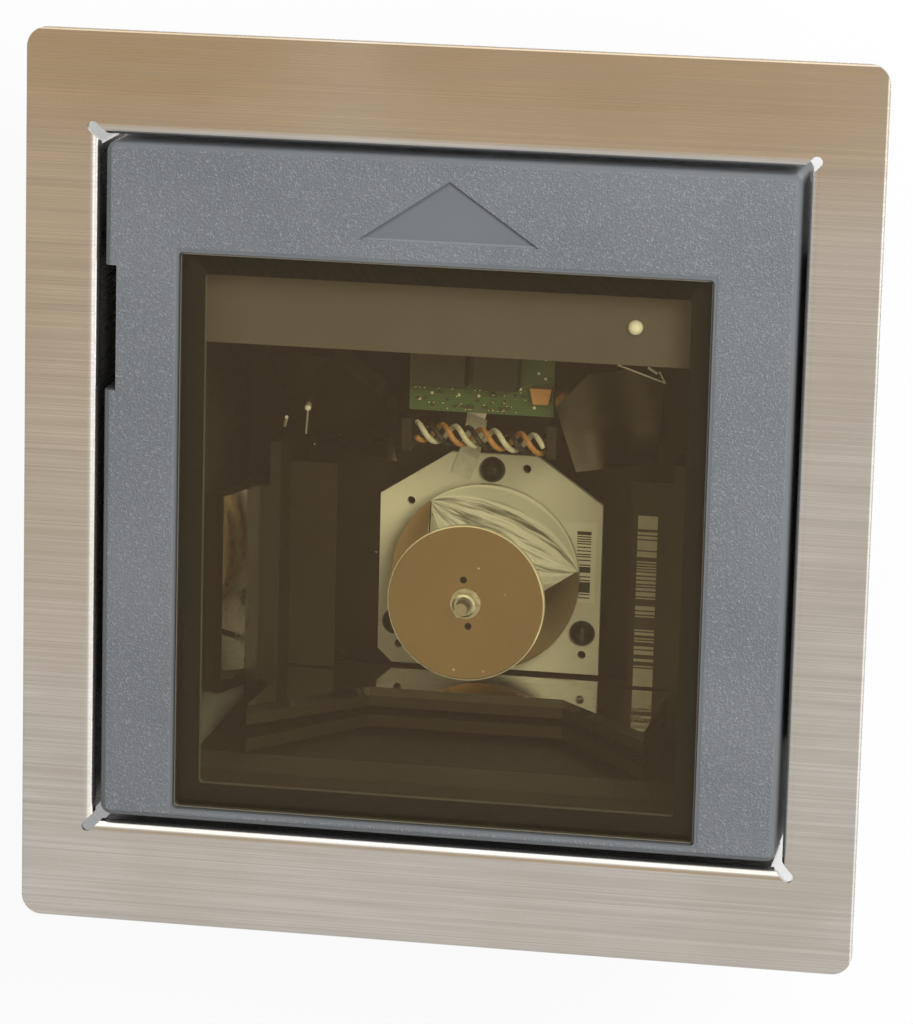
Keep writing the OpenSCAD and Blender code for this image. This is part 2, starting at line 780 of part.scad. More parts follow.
module east_mirror() {
    color(mirror_silver) intersection() {
        side_mirror_place() translate([0, 0, -side_mirror_below])
            cube([mirror_t, side_mirror_l, side_mirror_h + side_mirror_below]);
        block([0, -cover_l, side_shelf_z], [cover_w, cover_l, body_h]);
    }
}

module west_mirror() {
    mirror([1, 0, 0]) east_mirror();
}

// Frame of a rear mirror: local x along its lower edge, y up its face
module rear_mirror_place() {
    translate([rear_mirror_x, rear_mirror_y, rear_mirror_z]) rotate([0, 0, rear_mirror_yaw])
        rotate([rear_mirror_rise, 0, 0]) children();
}

module rear_mirror() {
    color(mirror_silver) rear_mirror_place() translate([0, 0, -mirror_t])
        linear_extrude(mirror_t) polygon(rear_outline);
}

module rear_right_mirror() {
    rear_mirror();
}

module rear_left_mirror() {
    mirror([1, 0, 0]) rear_mirror();
}

// Leaning seat of a rear mirror on two ribs
module rear_seat() {
    foot = rear_mirror_z - deck_z;
    run = rear_seat_l * rear_rib_reach * cos(rear_mirror_rise);
    rise = rear_seat_l * rear_rib_reach * sin(rear_mirror_rise);
    back = (mirror_t + deck_t) * sin(rear_mirror_rise);
    drop = (mirror_t + deck_t) * cos(rear_mirror_rise);
    rear_mirror_place() translate([0, 0, -mirror_t - deck_t]) linear_extrude(deck_t) polygon(rear_outline);
    translate([rear_mirror_x, rear_mirror_y, deck_z]) rotate([0, 0, rear_mirror_yaw])
        for (x = rear_rib_x) translate([x, 0, 0]) rotate([90, 0, 90]) linear_extrude(rear_rib_t)
            polygon([[back - 0.5, -eps], [back + rear_rib_foot, -eps],
                [back + run, foot - drop + rise], [back - 0.5, foot - drop]]);
}

// Frame of the front mirror: local x sideways, z up its face, which looks back
module front_mirror_place() {
    translate([0, front_mirror_y, front_mirror_z]) rotate([-front_mirror_lean, 0, 0]) children();
}

module front_mirror() {
    color(mirror_silver) front_mirror_place() rotate([90, 0, 0])
        linear_extrude(mirror_t) polygon(front_outline);
}

// Seat behind the front mirror, its legs and the tray's front wall
module front_seat() {
    wall_foot = front_mirror_z - deck_z;
    front_mirror_place() {
        translate([0, -mirror_t, 0]) rotate([90, 0, 0]) linear_extrude(deck_t) polygon(front_outline);
        translate([-front_mirror_w / 2, -mirror_t - deck_t, -deck_t])
            cube([front_mirror_w, deck_t + mirror_t, deck_t]);
    }
    for (x = [-1, 1]) translate([x * front_leg_x - front_leg_t / 2, 0, 0])
        block([0, deck_front, deck_z - eps],
            [front_leg_t, front_mirror_y - mirror_t - 1, front_mirror_z - 1]);
    translate([0, deck_front + front_wall_t, front_mirror_z]) rotate([90, 0, 0])
        linear_extrude(front_wall_t) {
            polygon(front_outline);
            translate([-front_mirror_w / 2, -wall_foot - eps]) square([front_mirror_w, wall_foot + 2 * eps]);
        }
}

// Black tray that carries every optical part
module optics_chassis() {
    color(black_plastic) difference() {
        union() {
            block([-deck_w / 2, deck_front, deck_under], [deck_w / 2, deck_back, deck_z]);
            side_seat();
            mirror([1, 0, 0]) side_seat();
            rear_seat();
            mirror([1, 0, 0]) rear_seat();
            front_seat();
            for (p = isolator_places) translate([spin_x + p[0], spin_y + p[1], deck_z - eps])
                    cylinder(h = plate_under - isolator_foot_t - deck_z + eps, r = isolator_foot_r + 0.4);
            for (p = board_posts) translate([p[0], p[1], deck_z - eps])
                cylinder(h = board_z - deck_z + eps, r = board_post_r);
            for (x = lead_rib_x)
                block([x, lead_y - lead_rib_front, deck_z - eps],
                    [x + lead_rib_t, lead_y + lead_rib_rise, lead_z + lead_rib_rise]);
        }
        for (p = deck_places) translate([p[0], p[1], deck_under - 1])
            cylinder(h = deck_t + 2, r = screw_hole_r);
        for (p = screw_places) translate([p[0], p[1], deck_under - 1])
            cylinder(h = deck_t + 2, r = pillar_foot_r);
    }
}

// Painted cover over the electronics, with the status light's hole
module electronics_cover() {
    color(shroud_khaki) difference() {
        union() {
            block([-shroud_w / 2, shroud_front, shroud_under], [shroud_w / 2, shroud_back, shroud_top]);
            for (s = [-1, 1]) translate([s * (shroud_w - shroud_leg_t) / 2 - shroud_leg_t / 2, 0, 0])
                block([0, shroud_front + shroud_leg_inset, deck_z],
                    [shroud_leg_t, shroud_back - shroud_leg_inset, shroud_under + eps]);
            for (s = [-1, 1])
                translate([lens_x + status_pin_x, lens_y + s * status_pin_y, status_board_z + board_t])
                    cylinder(h = shroud_under - status_board_z - board_t + eps, r = status_pin_r);
        }
        translate([lens_x, lens_y, shroud_under - 1]) cylinder(h = shroud_t + 2, r = lens_r + lens_gap);
    }
}

module status_lens() {
    color([0.85, 0.85, 0.8]) translate([lens_x, lens_y, 0]) {
        translate([0, 0, shroud_under - lens_stem + shroud_t]) cylinder(h = lens_stem, r = lens_r);
        translate([0, 0, shroud_top]) intersection() {
            sphere(lens_r);
            translate([-2 * lens_r, -2 * lens_r, -eps]) cube([4 * lens_r, 4 * lens_r, 2 * lens_r]);
        }
    }
}

module status_led() {
    half = status_led_w / 2;
    color([0.9, 0.9, 0.85]) block([lens_x - half, lens_y - half, status_board_z + board_t],
        [lens_x + half, lens_y + half, shroud_under - lens_stem + shroud_t - 0.3]);
}

module status_board() {
    color(board_green) block([lens_x - status_board_l / 2, lens_y - status_board_l / 2, status_board_z],
        [lens_x + status_board_x1, lens_y + status_board_l / 2, status_board_z + board_t]);
}

module main_board() {
    color(board_green) block([board_x0, board_y0, board_z], [board_x1, board_y1, board_top]);
}

// Board connector with a rebate along its front
module connector(x, w) {
    color(black_plastic) translate([x, connector_y, board_top]) difference() {
        cube([w, connector_l, connector_h]);
        block([1, -1, 2], [w - 1, 1.2, connector_h - 1]);
    }
}

module motor_connector() {
    connector(board_x0 + connector_edge, motor_connector_w);
}

module sensor_connector() {
    connector(board_x0 + 2 * connector_edge + motor_connector_w + 0.5, sensor_connector_w);
}

module capacitor() {
    half = capacitor_l / 2;
    color([0.85, 0.5, 0.2]) translate([capacitor_x, capacitor_y, board_top]) linear_extrude(capacitor_h)
        polygon([[0.1 - half, -half], [half - 0.1, -half], [half + 0.7, half], [-half - 0.7, half]]);
}

// Light sensor under the board's front edge, its window facing the mirrors
module photodiode() {
    color(black_plastic) translate([photodiode_x, photodiode_y, board_z - photodiode_h]) difference() {
        translate([-photodiode_w / 2, 0, 0]) cube([photodiode_w, photodiode_l, photodiode_h]);
        translate([0, 1, photodiode_h / 2]) rotate([90, 0, 0]) cylinder(h = 2, r = photodiode_l / 2);
    }
}

module laser_module() {
    color([0.75, 0.62, 0.35]) translate([spin_x, laser_y + laser_l, laser_z]) rotate([90, 0, 0])
        difference() {
            cylinder(h = laser_l, r = laser_r);
            translate([0, 0, laser_l - 2]) cylinder(h = 3, r = laser_hole_r);
        }
}

module laser_bracket() {
    color([0.6, 0.6, 0.62]) translate([spin_x, bracket_y, 0]) difference() {
        block([-bracket_w / 2, 0, deck_z], [bracket_w / 2, bracket_l, board_z]);
        translate([0, bracket_l + 1, laser_z]) rotate([90, 0, 0])
            cylinder(h = bracket_l + 2, r = laser_r + 0.03);
    }
}

// Concave mirror that gathers the returning light, with a hole for the laser
module collecting_mirror() {
    color(mirror_silver) translate([spin_x, collector_y, deck_z]) difference() {
        block([-collector_w / 2, 0, 0], [collector_w / 2, collector_t, laser_z - deck_z + collector_top]);
        translate([0, collector_web - collector_curve, -1])
            cylinder(h = 2 * laser_z, r = collector_curve, $fn = 360);
        translate([0, -1, laser_z - deck_z]) rotate([-90, 0, 0])
            cylinder(h = collector_t + 2, r = laser_r + 0.5);
    }
}

module interface_board() {
    color(board_green) block([port_board_x0, port_board_y0, port_board_z],
        [port_board_x1, port_board_y1, port_board_top]);
}

module data_port() {
    color(black_plastic) difference() {
        block([data_port_x - data_port_w / 2, port_face_y - data_port_l, port_board_top],
            [data_port_x + data_port_w / 2, port_face_y, port_board_top + data_port_h]);
        block([data_port_x - socket_w / 2, port_face_y - socket_l, port_board_top + socket_floor],
            [data_port_x + socket_w / 2, port_face_y + 1, port_board_top + socket_floor + socket_h]);
        block([data_port_x - key_w / 2, port_face_y - socket_l, port_board_top + socket_floor],
            [data_port_x + key_w / 2, port_face_y + 1, port_board_top + socket_floor + socket_h + key_h]);
    }
}

module power_port() {
    color(black_plastic) translate([power_port_x, port_face_y, port_board_top + power_port_h / 2]) {
        difference() {
            translate([-power_port_w / 2, -power_port_l, -power_port_h / 2])
                cube([power_port_w, power_port_l, power_port_h]);
            translate([0, 1, 0]) rotate([90, 0, 0]) cylinder(h = power_bore_l + 1, r = power_bore_r);
        }
        translate([0, -1, 0]) rotate([90, 0, 0]) cylinder(h = power_bore_l, r = power_pin_r);
    }
}

module link_cable() {
    color([0.7, 0.7, 0.68]) block([link_x - link_w / 2, link_y, port_board_top],
        [link_x + link_w / 2, link_y + link_t, board_z]);
}

module beeper() {
    color(black_plastic) translate([beeper_x, beeper_y, deck_z]) difference() {
        cylinder(h = beeper_h, r = beeper_r);
        translate([0, 0, beeper_h - 2]) cylinder(h = 3, r = beeper_hole_r);
    }
}

// Centre of strand k at share s of its run
function strand_point(k, s) =
    let (run = lead_x1 - lead_x0, a = 360 * (s * run / twist_pitch + k / lead_count))
    [lead_x0 + s * run, lead_y + lead_slope * s + twist_r * cos(a), lead_z + twist_r * sin(a)];

function unit(v) = v / norm(v);

function strand_ring(k, i) =
    let (s = i / lead_rings,
        ahead = unit(strand_point(k, s + 0.001) - strand_point(k, s - 0.001)),
        side = unit(cross(ahead, [0, 0, 1])),
        up = cross(side, ahead))
    [for (j = [0:lead_sides - 1]) let (a = 360 * j / lead_sides)
        strand_point(k, s) + lead_r * (cos(a) * side + sin(a) * up)];

module strand(k) {
    points = [for (i = [0:lead_rings]) each strand_ring(k, i)];
    start = [[for (j = [0:lead_sides - 1]) j]];
    finish = [[for (j = [0:lead_sides - 1]) lead_rings * lead_sides + lead_sides - 1 - j]];
    sides = [for (i = [0:lead_rings - 1], j = [0:lead_sides - 1])
        let (n = (j + 1) % lead_sides, a = i * lead_sides, b = a + lead_sides)
        each [[a + j, b + j, b + n], [a + j, b + n, a + n]]];
    polyhedron(points, concat(start, finish, sides));
}

module lead_white() {
    color([0.9, 0.9, 0.85]) strand(0);
}

module lead_orange() {
    color([0.85, 0.45, 0.15]) strand(1);
}

module lead_black() {
    color([0.08, 0.08, 0.08]) strand(2);
}

// Flat ribbon: its path is given a thickness, then its width
module motor_ribbon() {
    n = len(ribbon_path);
    over = [for (p = ribbon_path) p + [0, ribbon_t / 2]];
    under = [for (i = [0:n - 1]) ribbon_path[n - 1 - i] - [0, ribbon_t / 2]];
    color([0.92, 0.92, 0.88]) translate([ribbon_x, ribbon_y, 0]) rotate([0, 0, ribbon_turn])
        rotate([90, 0, 90]) linear_extrude(ribbon_w, center = true) polygon(concat(over, under));
}

module at_axis() {
    translate([spin_x, spin_y, 0]) children();
}

// Motor plate with holes for the sleeve, the isolators and its fixings
module motor_plate() {
    color(plate_white) at_axis() translate([0, 0, plate_under]) linear_extrude(plate_t) difference() {
        polygon(plate_outline);
        circle(sleeve_r + 0.05);
        for (p = isolator_places) translate(p) circle(isolator_waist_r + 0.1);
        for (p = plate_small_holes) translate(p) circle(plate_small_r);
    }
}

// Rubber isolator: a foot under the plate, a waist through it and a dome on top
module isolator(index) {
    at = isolator_places[index];
    color(black_plastic) at_axis() translate([at[0], at[1], 0]) {
        translate([0, 0, plate_under - isolator_foot_t])
            cylinder(h = isolator_foot_t, r = isolator_foot_r);
        translate([0, 0, plate_under - eps]) cylinder(h = plate_t + 2 * eps, r = isolator_waist_r);
        translate([0, 0, plate_z]) rotate_extrude() intersection() {
            translate([0, isolator_dome - isolator_r]) circle(isolator_r);
            square([isolator_r, isolator_dome]);
        }
    }
}

module bearing_sleeve() {
    color([0.7, 0.6, 0.4]) at_axis() difference() {
        union() {
            translate([0, 0, sleeve_bottom]) cylinder(h = sleeve_top - sleeve_bottom, r = sleeve_r);
            translate([0, 0, plate_z]) cylinder(h = sleeve_flange_t, r = sleeve_flange_r);
        }
        translate([0, 0, sleeve_bottom - 1])
            cylinder(h = sleeve_top - sleeve_bottom + 2, r = shaft_r + run_gap);
    }
}

module thrust_cap() {
    color([0.6, 0.6, 0.6]) at_axis() translate([0, 0, sleeve_bottom - thrust_t])
        cylinder(h = thrust_t, r = sleeve_r);
}

// Six-tooth stator on the sleeve's flange
module stator_core() {
    color([0.45, 0.45, 0.48]) at_axis() {
        translate([0, 0, stator_z]) difference() {
            cylinder(h = core_z + core_t - stator_z, r = stator_hub_r);
            translate([0, 0, -1]) cylinder(h = 10, r = sleeve_r + 0.05);
        }
        translate([0, 0, core_z]) linear_extrude(core_t) {
            for (i = [0:stator_teeth - 1]) rotate(i * 360 / stator_teeth)
                translate([stator_hub_r - 0.5, -tooth_w / 2])
                    square([tooth_tip_r - stator_hub_r - 0.4, tooth_w]);
            difference() {
                circle(tooth_tip_r);
                circle(tooth_tip_r - tooth_tip_t);
                for (i = [0:stator_teeth - 1]) rotate((i + 0.5) * 360 / stator_teeth)
                    translate([0, -1]) square([tooth_tip_r + 1, 2]);
            }
        }
    }
}

module coil(index) {
    color([0.72, 0.38, 0.2]) at_axis() rotate([0, 0, index * 360 / stator_teeth])
        translate([0, 0, core_z + core_t / 2]) difference() {
            block([coil_start, -coil_w / 2, -coil_h / 2], [coil_end, coil_w / 2, coil_h / 2]);
            block([coil_start - 1, -tooth_w / 2, -core_t / 2], [coil_end + 1, tooth_w / 2, core_t / 2]);
        }
}

// Polished steel cup with a lip, which turns over the stator
module rotor_cup() {
    color([0.78, 0.78, 0.76]) at_axis() difference() {
        union() {
            translate([0, 0, cup_bottom]) cylinder(h = rotor_top - cup_bottom, r = cup_r);
            translate([0, 0, rotor_top - lip_t]) cylinder(h = lip_t, r = rotor_r);
        }
        translate([0, 0, cup_bottom - 1]) cylinder(h = cup_ceiling - cup_bottom + 1, r = cup_r - cup_t);
        translate([0, 0, cup_bottom]) cylinder(h = rotor_top - cup_bottom + 1, r = shaft_r + 0.02);
    }
}

module rotor_magnet() {
    color([0.25, 0.25, 0.27]) at_axis() difference() {
        translate([0, 0, cup_bottom + 0.3])
            cylinder(h = cup_ceiling - cup_bottom - 0.3, r = cup_r - cup_t - 0.02);
        translate([0, 0, cup_bottom - 1]) cylinder(h = rotor_top - cup_bottom + 1, r = magnet_r);
    }
}

module spinner_shaft() {
    color("silver") at_axis() translate([0, 0, shaft_bottom])
        cylinder(h = shaft_top - shaft_bottom, r = shaft_r);
}

// Half space outside facet index, moved inwards by depth
module beyond_facet(index, depth) {
    reach = 2 * facet_corner_r;
    rotate([0, 0, spin_turn + index * 360 / facets]) translate([facet_in_r, 0, rotor_top])
        rotate([0, -facet_tilt[index], 0]) translate([-depth, -reach, -reach]) cube(2 * reach);
}

module spinner_core() {
    color([0.2, 0.17, 0.14]) at_axis() difference() {
        translate([0, 0, rotor_top]) cylinder(h = facet_h, r = facet_corner_r - facet_t);
        for (i = [0:facets - 1]) beyond_facet(i, facet_t);
        translate([0, 0, rotor_top - 1]) cylinder(h = facet_h + 2, r = shaft_r + 0.05);
    }
}

// Mirror on one side of the core, its edges mitred against its neighbours
module facet_mirror(index) {
    wedge = facet_corner_r + 2;
    color(mirror_silver) at_axis() difference() {
        intersection() {
            rotate([0, 0, spin_turn + index * 360 / facets]) translate([0.12, 0, rotor_top])
                linear_extrude(facet_h) polygon([[0, 0], [wedge, -wedge * tan(180 / facets)],
                    [wedge, wedge * tan(180 / facets)]]);
            beyond_facet(index, facet_t);
        }
        beyond_facet(index, 0);
    }
}

module spinner_cap() {
    color(copper_tan) at_axis() difference() {
        translate([0, 0, cap_z]) cylinder(h = cap_t, r = cap_r, $fn = 96);
        translate([0, 0, cap_z - 1]) cylinder(h = cap_t + 2, r = shaft_r + 0.05);
        for (a = [0, 180]) rotate([0, 0, cap_hole_turn + a]) translate([cap_hole_pitch, 0, cap_z - 1])
            cylinder(h = cap_t + 2, r = cap_hole_r);
    }
}

module spinner_washer() {
    color("silver") at_axis() translate([0, 0, cap_top]) difference() {
        cylinder(h = washer_t, r = washer_r);
        translate([0, 0, -1]) cylinder(h = washer_t + 2, r = shaft_r + 0.05);
    }
}

module spinner_nut() {
    color("silver") at_axis() translate([0, 0, cap_top + washer_t]) difference() {
        cylinder(h = nut_h, r = nut_flats / sqrt(3), $fn = 6);
        translate([0, 0, -1]) cylinder(h = nut_h + 2, r = shaft_r + 0.02);
    }
}

mounting_frame();
top_cover();
window_glass();
window_tape();
bottom_housing();
housing_screws();
optics_chassis();
chassis_screws();
electronics_cover();
status_lens();
status_led();
status_board();
main_board();
motor_connector();
sensor_connector();
capacitor();
photodiode();
laser_module();
laser_bracket();
collecting_mirror();
interface_board();
data_port();
power_port();
link_cable();
beeper();
lead_white();
lead_orange();
lead_black();
motor_ribbon();
east_mirror();
west_mirror();
rear_right_mirror();
rear_left_mirror();
front_mirror();
motor_plate();
isolator(0);  // isolator_1
isolator(1);  // isolator_2
isolator(2);  // isolator_3
bearing_sleeve();
thrust_cap();
stator_core();
coil(0);  // coil_1
coil(1);  // coil_2
coil(2);  // coil_3
coil(3);  // coil_4
coil(4);  // coil_5
coil(5);  // coil_6
rotor_cup();
rotor_magnet();
spinner_shaft();
spinner_core();
facet_mirror(0);  // facet_mirror_1
facet_mirror(1);  // facet_mirror_2
facet_mirror(2);  // facet_mirror_3
spinner_cap();
spinner_washer();
spinner_nut();
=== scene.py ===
import math
import random

import bmesh
import bpy
from mathutils import Matrix, Vector


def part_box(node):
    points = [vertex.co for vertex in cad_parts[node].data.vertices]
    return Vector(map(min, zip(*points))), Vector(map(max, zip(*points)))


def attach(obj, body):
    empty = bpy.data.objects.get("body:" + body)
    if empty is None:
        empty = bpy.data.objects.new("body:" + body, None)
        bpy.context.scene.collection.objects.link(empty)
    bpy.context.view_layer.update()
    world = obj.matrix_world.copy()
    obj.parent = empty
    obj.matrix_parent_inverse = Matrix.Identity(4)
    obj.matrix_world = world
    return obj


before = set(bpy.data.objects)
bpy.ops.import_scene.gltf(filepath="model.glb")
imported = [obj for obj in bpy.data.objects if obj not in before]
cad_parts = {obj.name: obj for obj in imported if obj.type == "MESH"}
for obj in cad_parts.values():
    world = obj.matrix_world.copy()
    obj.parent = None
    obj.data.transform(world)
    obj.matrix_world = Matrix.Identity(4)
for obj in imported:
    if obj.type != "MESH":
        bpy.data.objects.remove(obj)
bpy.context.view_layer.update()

MM = 0.001
X, Y, Z = 0, 1, 2


def middle(low, high, axis):
    return (low[axis] + high[axis]) / 2


def half(low, high, axis):
    return (high[axis] - low[axis]) / 2


# Corners and top faces of the CAD's pieces, read from model.glb's meshes
cover_low, cover_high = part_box("top_cover")
glass_low, glass_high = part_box("window_glass")
flange_low, flange_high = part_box("mounting_frame")
cap_low, cap_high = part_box("spinner_cap")
rotor_low, rotor_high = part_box("rotor_cup")
nut_low, nut_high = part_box("spinner_nut")
shaft_low, shaft_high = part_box("spinner_shaft")
plate_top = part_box("motor_plate")[1][Z]
board_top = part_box("main_board")[1][Z]

# The spinner: its axis, its radii, and the first facet's distance and direction
axis_x = middle(cap_low, cap_high, X)
axis_y = middle(cap_low, cap_high, Y)
cap_r = half(cap_low, cap_high, X)
rotor_r = half(rotor_low, rotor_high, X)
shaft_r = half(shaft_low, shaft_high, X)
facet_in = 10.9 * MM
facet_turn = math.radians(67.2)

# The cover's recessed arrow: half its width, its length, and the edge's distance from its tip
arrow_half = 19.75 * MM
arrow_rise = 13.5 * MM
arrow_margin = 5.3 * MM

# Camera: its place, its two image directions and its lens, fitted to the photograph's corners
camera_place = Vector((0.1721, 0.2209, 1.101))
camera_right = Vector((0.9849, 0.0254, -0.1713)).normalized()
camera_up = Vector((-0.0611, 0.9765, -0.2064)).normalized()
camera_lens = 167.44
sensor_width = 36
nearest, farthest = 0.05, 20


def make_camera():
    """The photograph's view: a long lens high above, a little towards +X and +Y."""
    data = bpy.data.cameras.new("photo_camera")
    data.lens = camera_lens
    data.sensor_width = sensor_width
    data.clip_start = nearest
    data.clip_end = farthest
    camera = bpy.data.objects.new("photo_camera", data)
    back = camera_right.cross(camera_up).normalized()
    up = back.cross(camera_right)
    turn = Matrix((camera_right, up, back)).transposed().to_4x4()
    camera.matrix_world = Matrix.Translation(camera_place) @ turn
    bpy.context.scene.collection.objects.link(camera)
    bpy.context.scene.camera = camera


make_camera()


class Nodes:
    """Short calls that add nodes to one tree; they take sockets to link or plain values."""

    def __init__(self, owner):
        owner.use_nodes = True
        self.owner = owner
        self.tree = owner.node_tree
        self.tree.nodes.clear()

    def fill(self, socket, value):
        """Links or sets an input; a plain colour comes as (r, g, b)."""
        if isinstance(value, bpy.types.NodeSocket):
            self.tree.links.new(value, socket)
        elif socket.type == "RGBA":
            socket.default_value = (*value, 1.0)
        else:
            socket.default_value = value

    def add(self, kind, inputs=None, **props):
        made = self.tree.nodes.new(kind)
        for key, value in props.items():
            setattr(made, key, value)
        for key, value in (inputs or {}).items():
            self.fill(made.inputs[key], value)
        return made

    # Sums

    def math(self, op, *values):
        return self.add("ShaderNodeMath", dict(enumerate(values)), operation=op).outputs[0]

    def minus(self, a, b):
        return self.math("SUBTRACT", a, b)

    def mul(self, a, b):
        return self.math("MULTIPLY", a, b)

    def mul_add(self, a, b, c):
        """a times b, plus c."""
        return self.math("MULTIPLY_ADD", a, b, c)

    def absolute(self, a):
        return self.math("ABSOLUTE", a)

    def least(self, a, b):
        return self.math("MINIMUM", a, b)

    def most(self, a, b):
        return self.math("MAXIMUM", a, b)

    def above(self, a, limit):
        return self.math("GREATER_THAN", a, limit)

    def below(self, a, limit):
        return self.math("LESS_THAN", a, limit)

    def near(self, a, centre, reach):
        """1 within reach of the centre, otherwise 0."""
        return self.math("COMPARE", a, centre, reach)

    def spread(self, value, low, high, to_low=0.0, to_high=1.0, smooth=False):
        """Maps low..high to to_low..to_high, and holds the ends outside it."""
        kind = "SMOOTHSTEP" if smooth else "LINEAR"
        return self.add("ShaderNodeMapRange", {
            "Value": value, "From Min": low, "From Max": high,
            "To Min": to_low, "To Max": to_high}, interpolation_type=kind).outputs[0]

    # Places and patterns

    def place(self, scale=(1, 1, 1), at=(0, 0, 0)):
        """Object coordinates, scaled, then moved by at."""
        coords = self.add("ShaderNodeTexCoord").outputs["Object"]
        return self.add("ShaderNodeMapping", {
            "Vector": coords, "Scale": scale, "Location": at}).outputs[0]

    def split(self, vector):
        return self.add("ShaderNodeSeparateXYZ", {0: vector}).outputs

    def join(self, x, y=0.0):
        return self.add("ShaderNodeCombineXYZ", {0: x, 1: y}).outputs[0]

    def outside(self, xyz, low, high):
        """How far a point lies outside a box's outline from above; negative inside it."""
        past = []
        for axis in (X, Y):
            off = self.absolute(self.minus(xyz[axis], middle(low, high, axis)))
            past.append(self.minus(off, half(low, high, axis)))
        return self.most(*past)

    def noise(self, vector, scale, detail, rough, warp=0.0):
        return self.add("ShaderNodeTexNoise", {
            "Vector": vector, "Scale": scale, "Detail": detail,
            "Roughness": rough, "Distortion": warp}).outputs["Fac"]

    def cells(self, scale):
        """Scattered cells: the distance from each one's seed, and a random colour."""
        return self.add("ShaderNodeTexVoronoi", {"Vector": self.place(), "Scale": scale}).outputs

    def channel(self, colour, index):
        return self.add("ShaderNodeSeparateColor", {0: colour}).outputs[index]

    # Colours and shaders

    def blend(self, share, first, second, how="MIX"):
        return self.add("ShaderNodeMix", {0: share, 6: first, 7: second},
            data_type="RGBA", blend_type=how).outputs[2]

    def bump(self, height, strength, depth, under=None):
        inputs = {"Height": height, "Strength": strength, "Distance": depth}
        if under is not None:
            inputs["Normal"] = under
        return self.add("ShaderNodeBump", inputs).outputs[0]

    def diffuse(self, colour):
        return self.add("ShaderNodeBsdfDiffuse", {"Color": colour}).outputs[0]

    def surface(self, colour, rough, metal=0.0, normal=None, **extra):
        """A Principled shader; extra names its other sockets with _ for spaces."""
        inputs = {"Base Color": colour, "Metallic": metal, "Roughness": rough}
        if normal is not None:
            inputs["Normal"] = normal
        for key, value in extra.items():
            inputs[key.replace("_", " ")] = value
        return self.add("ShaderNodeBsdfPrincipled", inputs).outputs[0]

    def mix(self, share, first, second):
        return self.add("ShaderNodeMixShader", {0: share, 1: first, 2: second}).outputs[0]

    def finish(self, shader):
        """Gives the material that shader, and returns the material."""
        self.add("ShaderNodeOutputMaterial", {"Surface": shader})
        return self.owner


def new_material(name):
    return Nodes(bpy.data.materials.new(name))


# Materials

def brushed_steel():
    """Counter-frame sheet, brushed from side to side before it was folded."""
    wall_lean = 0.6
    gleam_x, gleam_reach = -22 * MM, 22 * MM
    edge_roll = 0.6 * MM
    t = new_material("brushed_sheet")
    coords = t.add("ShaderNodeTexCoord").outputs
    xyz = t.split(coords["Object"])
    facing = t.split(coords["Normal"])
    side_wall = t.above(t.absolute(facing[X]), wall_lean)
    end_wall = t.above(t.absolute(facing[Y]), wall_lean)

    # Brush marks run along the sheet, down its folded walls too
    along = t.add("ShaderNodeMix", {0: side_wall, 2: xyz[X], 3: xyz[Z]}).outputs[0]
    across = t.mul_add(xyz[Z], end_wall, xyz[Y])
    lines = t.join(t.mul(along, 0.002), across)
    dashes = t.join(t.mul(along, 0.06), across)
    fine = t.noise(lines, 2900, 2, 0.6)
    coarse = t.noise(lines, 620, 2, 0.5)
    bands = t.noise(lines, 110, 2, 0.5)
    gaps = t.noise(dashes, 420, 2, 0.55)
    cloud = t.noise(t.place(), 22, 3, 0.5)
    grain = t.mul_add(gaps, 0.3, t.mul_add(fine, 0.55, t.mul(coarse, 0.15)))
    base = t.blend(t.spread(grain, 0.36, 0.64), (0.60, 0.578, 0.548), (0.80, 0.772, 0.735))
    base = t.blend(t.spread(bands, 0.35, 0.65, 0.0, 0.14), base, (0.87, 0.845, 0.81))
    warm_streak = t.mul(t.spread(cloud, 0.45, 0.65, 0.0, 0.5, smooth=True),
        t.spread(gaps, 0.4, 0.6, 0.3, 1.0))
    base = t.blend(warm_streak, base, (0.62, 0.575, 0.51))

    # Painted reflection: a warm tan tint along the top and left bands, weaker about gleam_x,
    # stands in for the room seen in the steel; not on the bends
    from_gleam = t.absolute(t.minus(xyz[X], gleam_x))
    along_top = t.mul(t.spread(from_gleam, 0.0, gleam_reach, 0.65, 0.95, smooth=True),
        t.spread(xyz[X], 70 * MM, 95 * MM, 1.0, 0.7))
    painted_top_reflection = t.mul(t.spread(xyz[Y], 55 * MM, 90 * MM, smooth=True), along_top)
    painted_left_reflection = t.mul(t.spread(xyz[X], -80 * MM, -68 * MM, 1.0, 0.0, smooth=True),
        t.spread(xyz[Y], -60 * MM, 40 * MM, 0.0, 0.65))
    lean = t.absolute(facing[Z])
    warm = t.mul(t.most(painted_top_reflection, painted_left_reflection), t.spread(lean, 0.93, 0.995))
    base = t.blend(warm, base, (0.90, 0.77, 0.59), "MULTIPLY")

    # The bends are smoother, and the sheet's cut edge is rolled over
    bend = t.mul(t.spread(lean, 0.90, 0.98, 1.0, 0.0), t.spread(lean, 0.05, 0.2))
    rough = t.mul(t.spread(grain, 0.36, 0.64, 0.36, 0.22), t.spread(bend, 0.0, 1.0, 1.0, 0.6))
    rolled = t.spread(t.outside(xyz, flange_low, flange_high), -edge_roll, 0.0, 1.0, 0.0,
        smooth=True)
    marks = t.spread(side_wall, 0.0, 1.0, 0.22, 0.04)
    normal = t.bump(grain, marks, 0.03 * MM, t.bump(rolled, 0.6, 0.3 * MM))
    return t.finish(t.surface(base, rough, 1.0, normal))


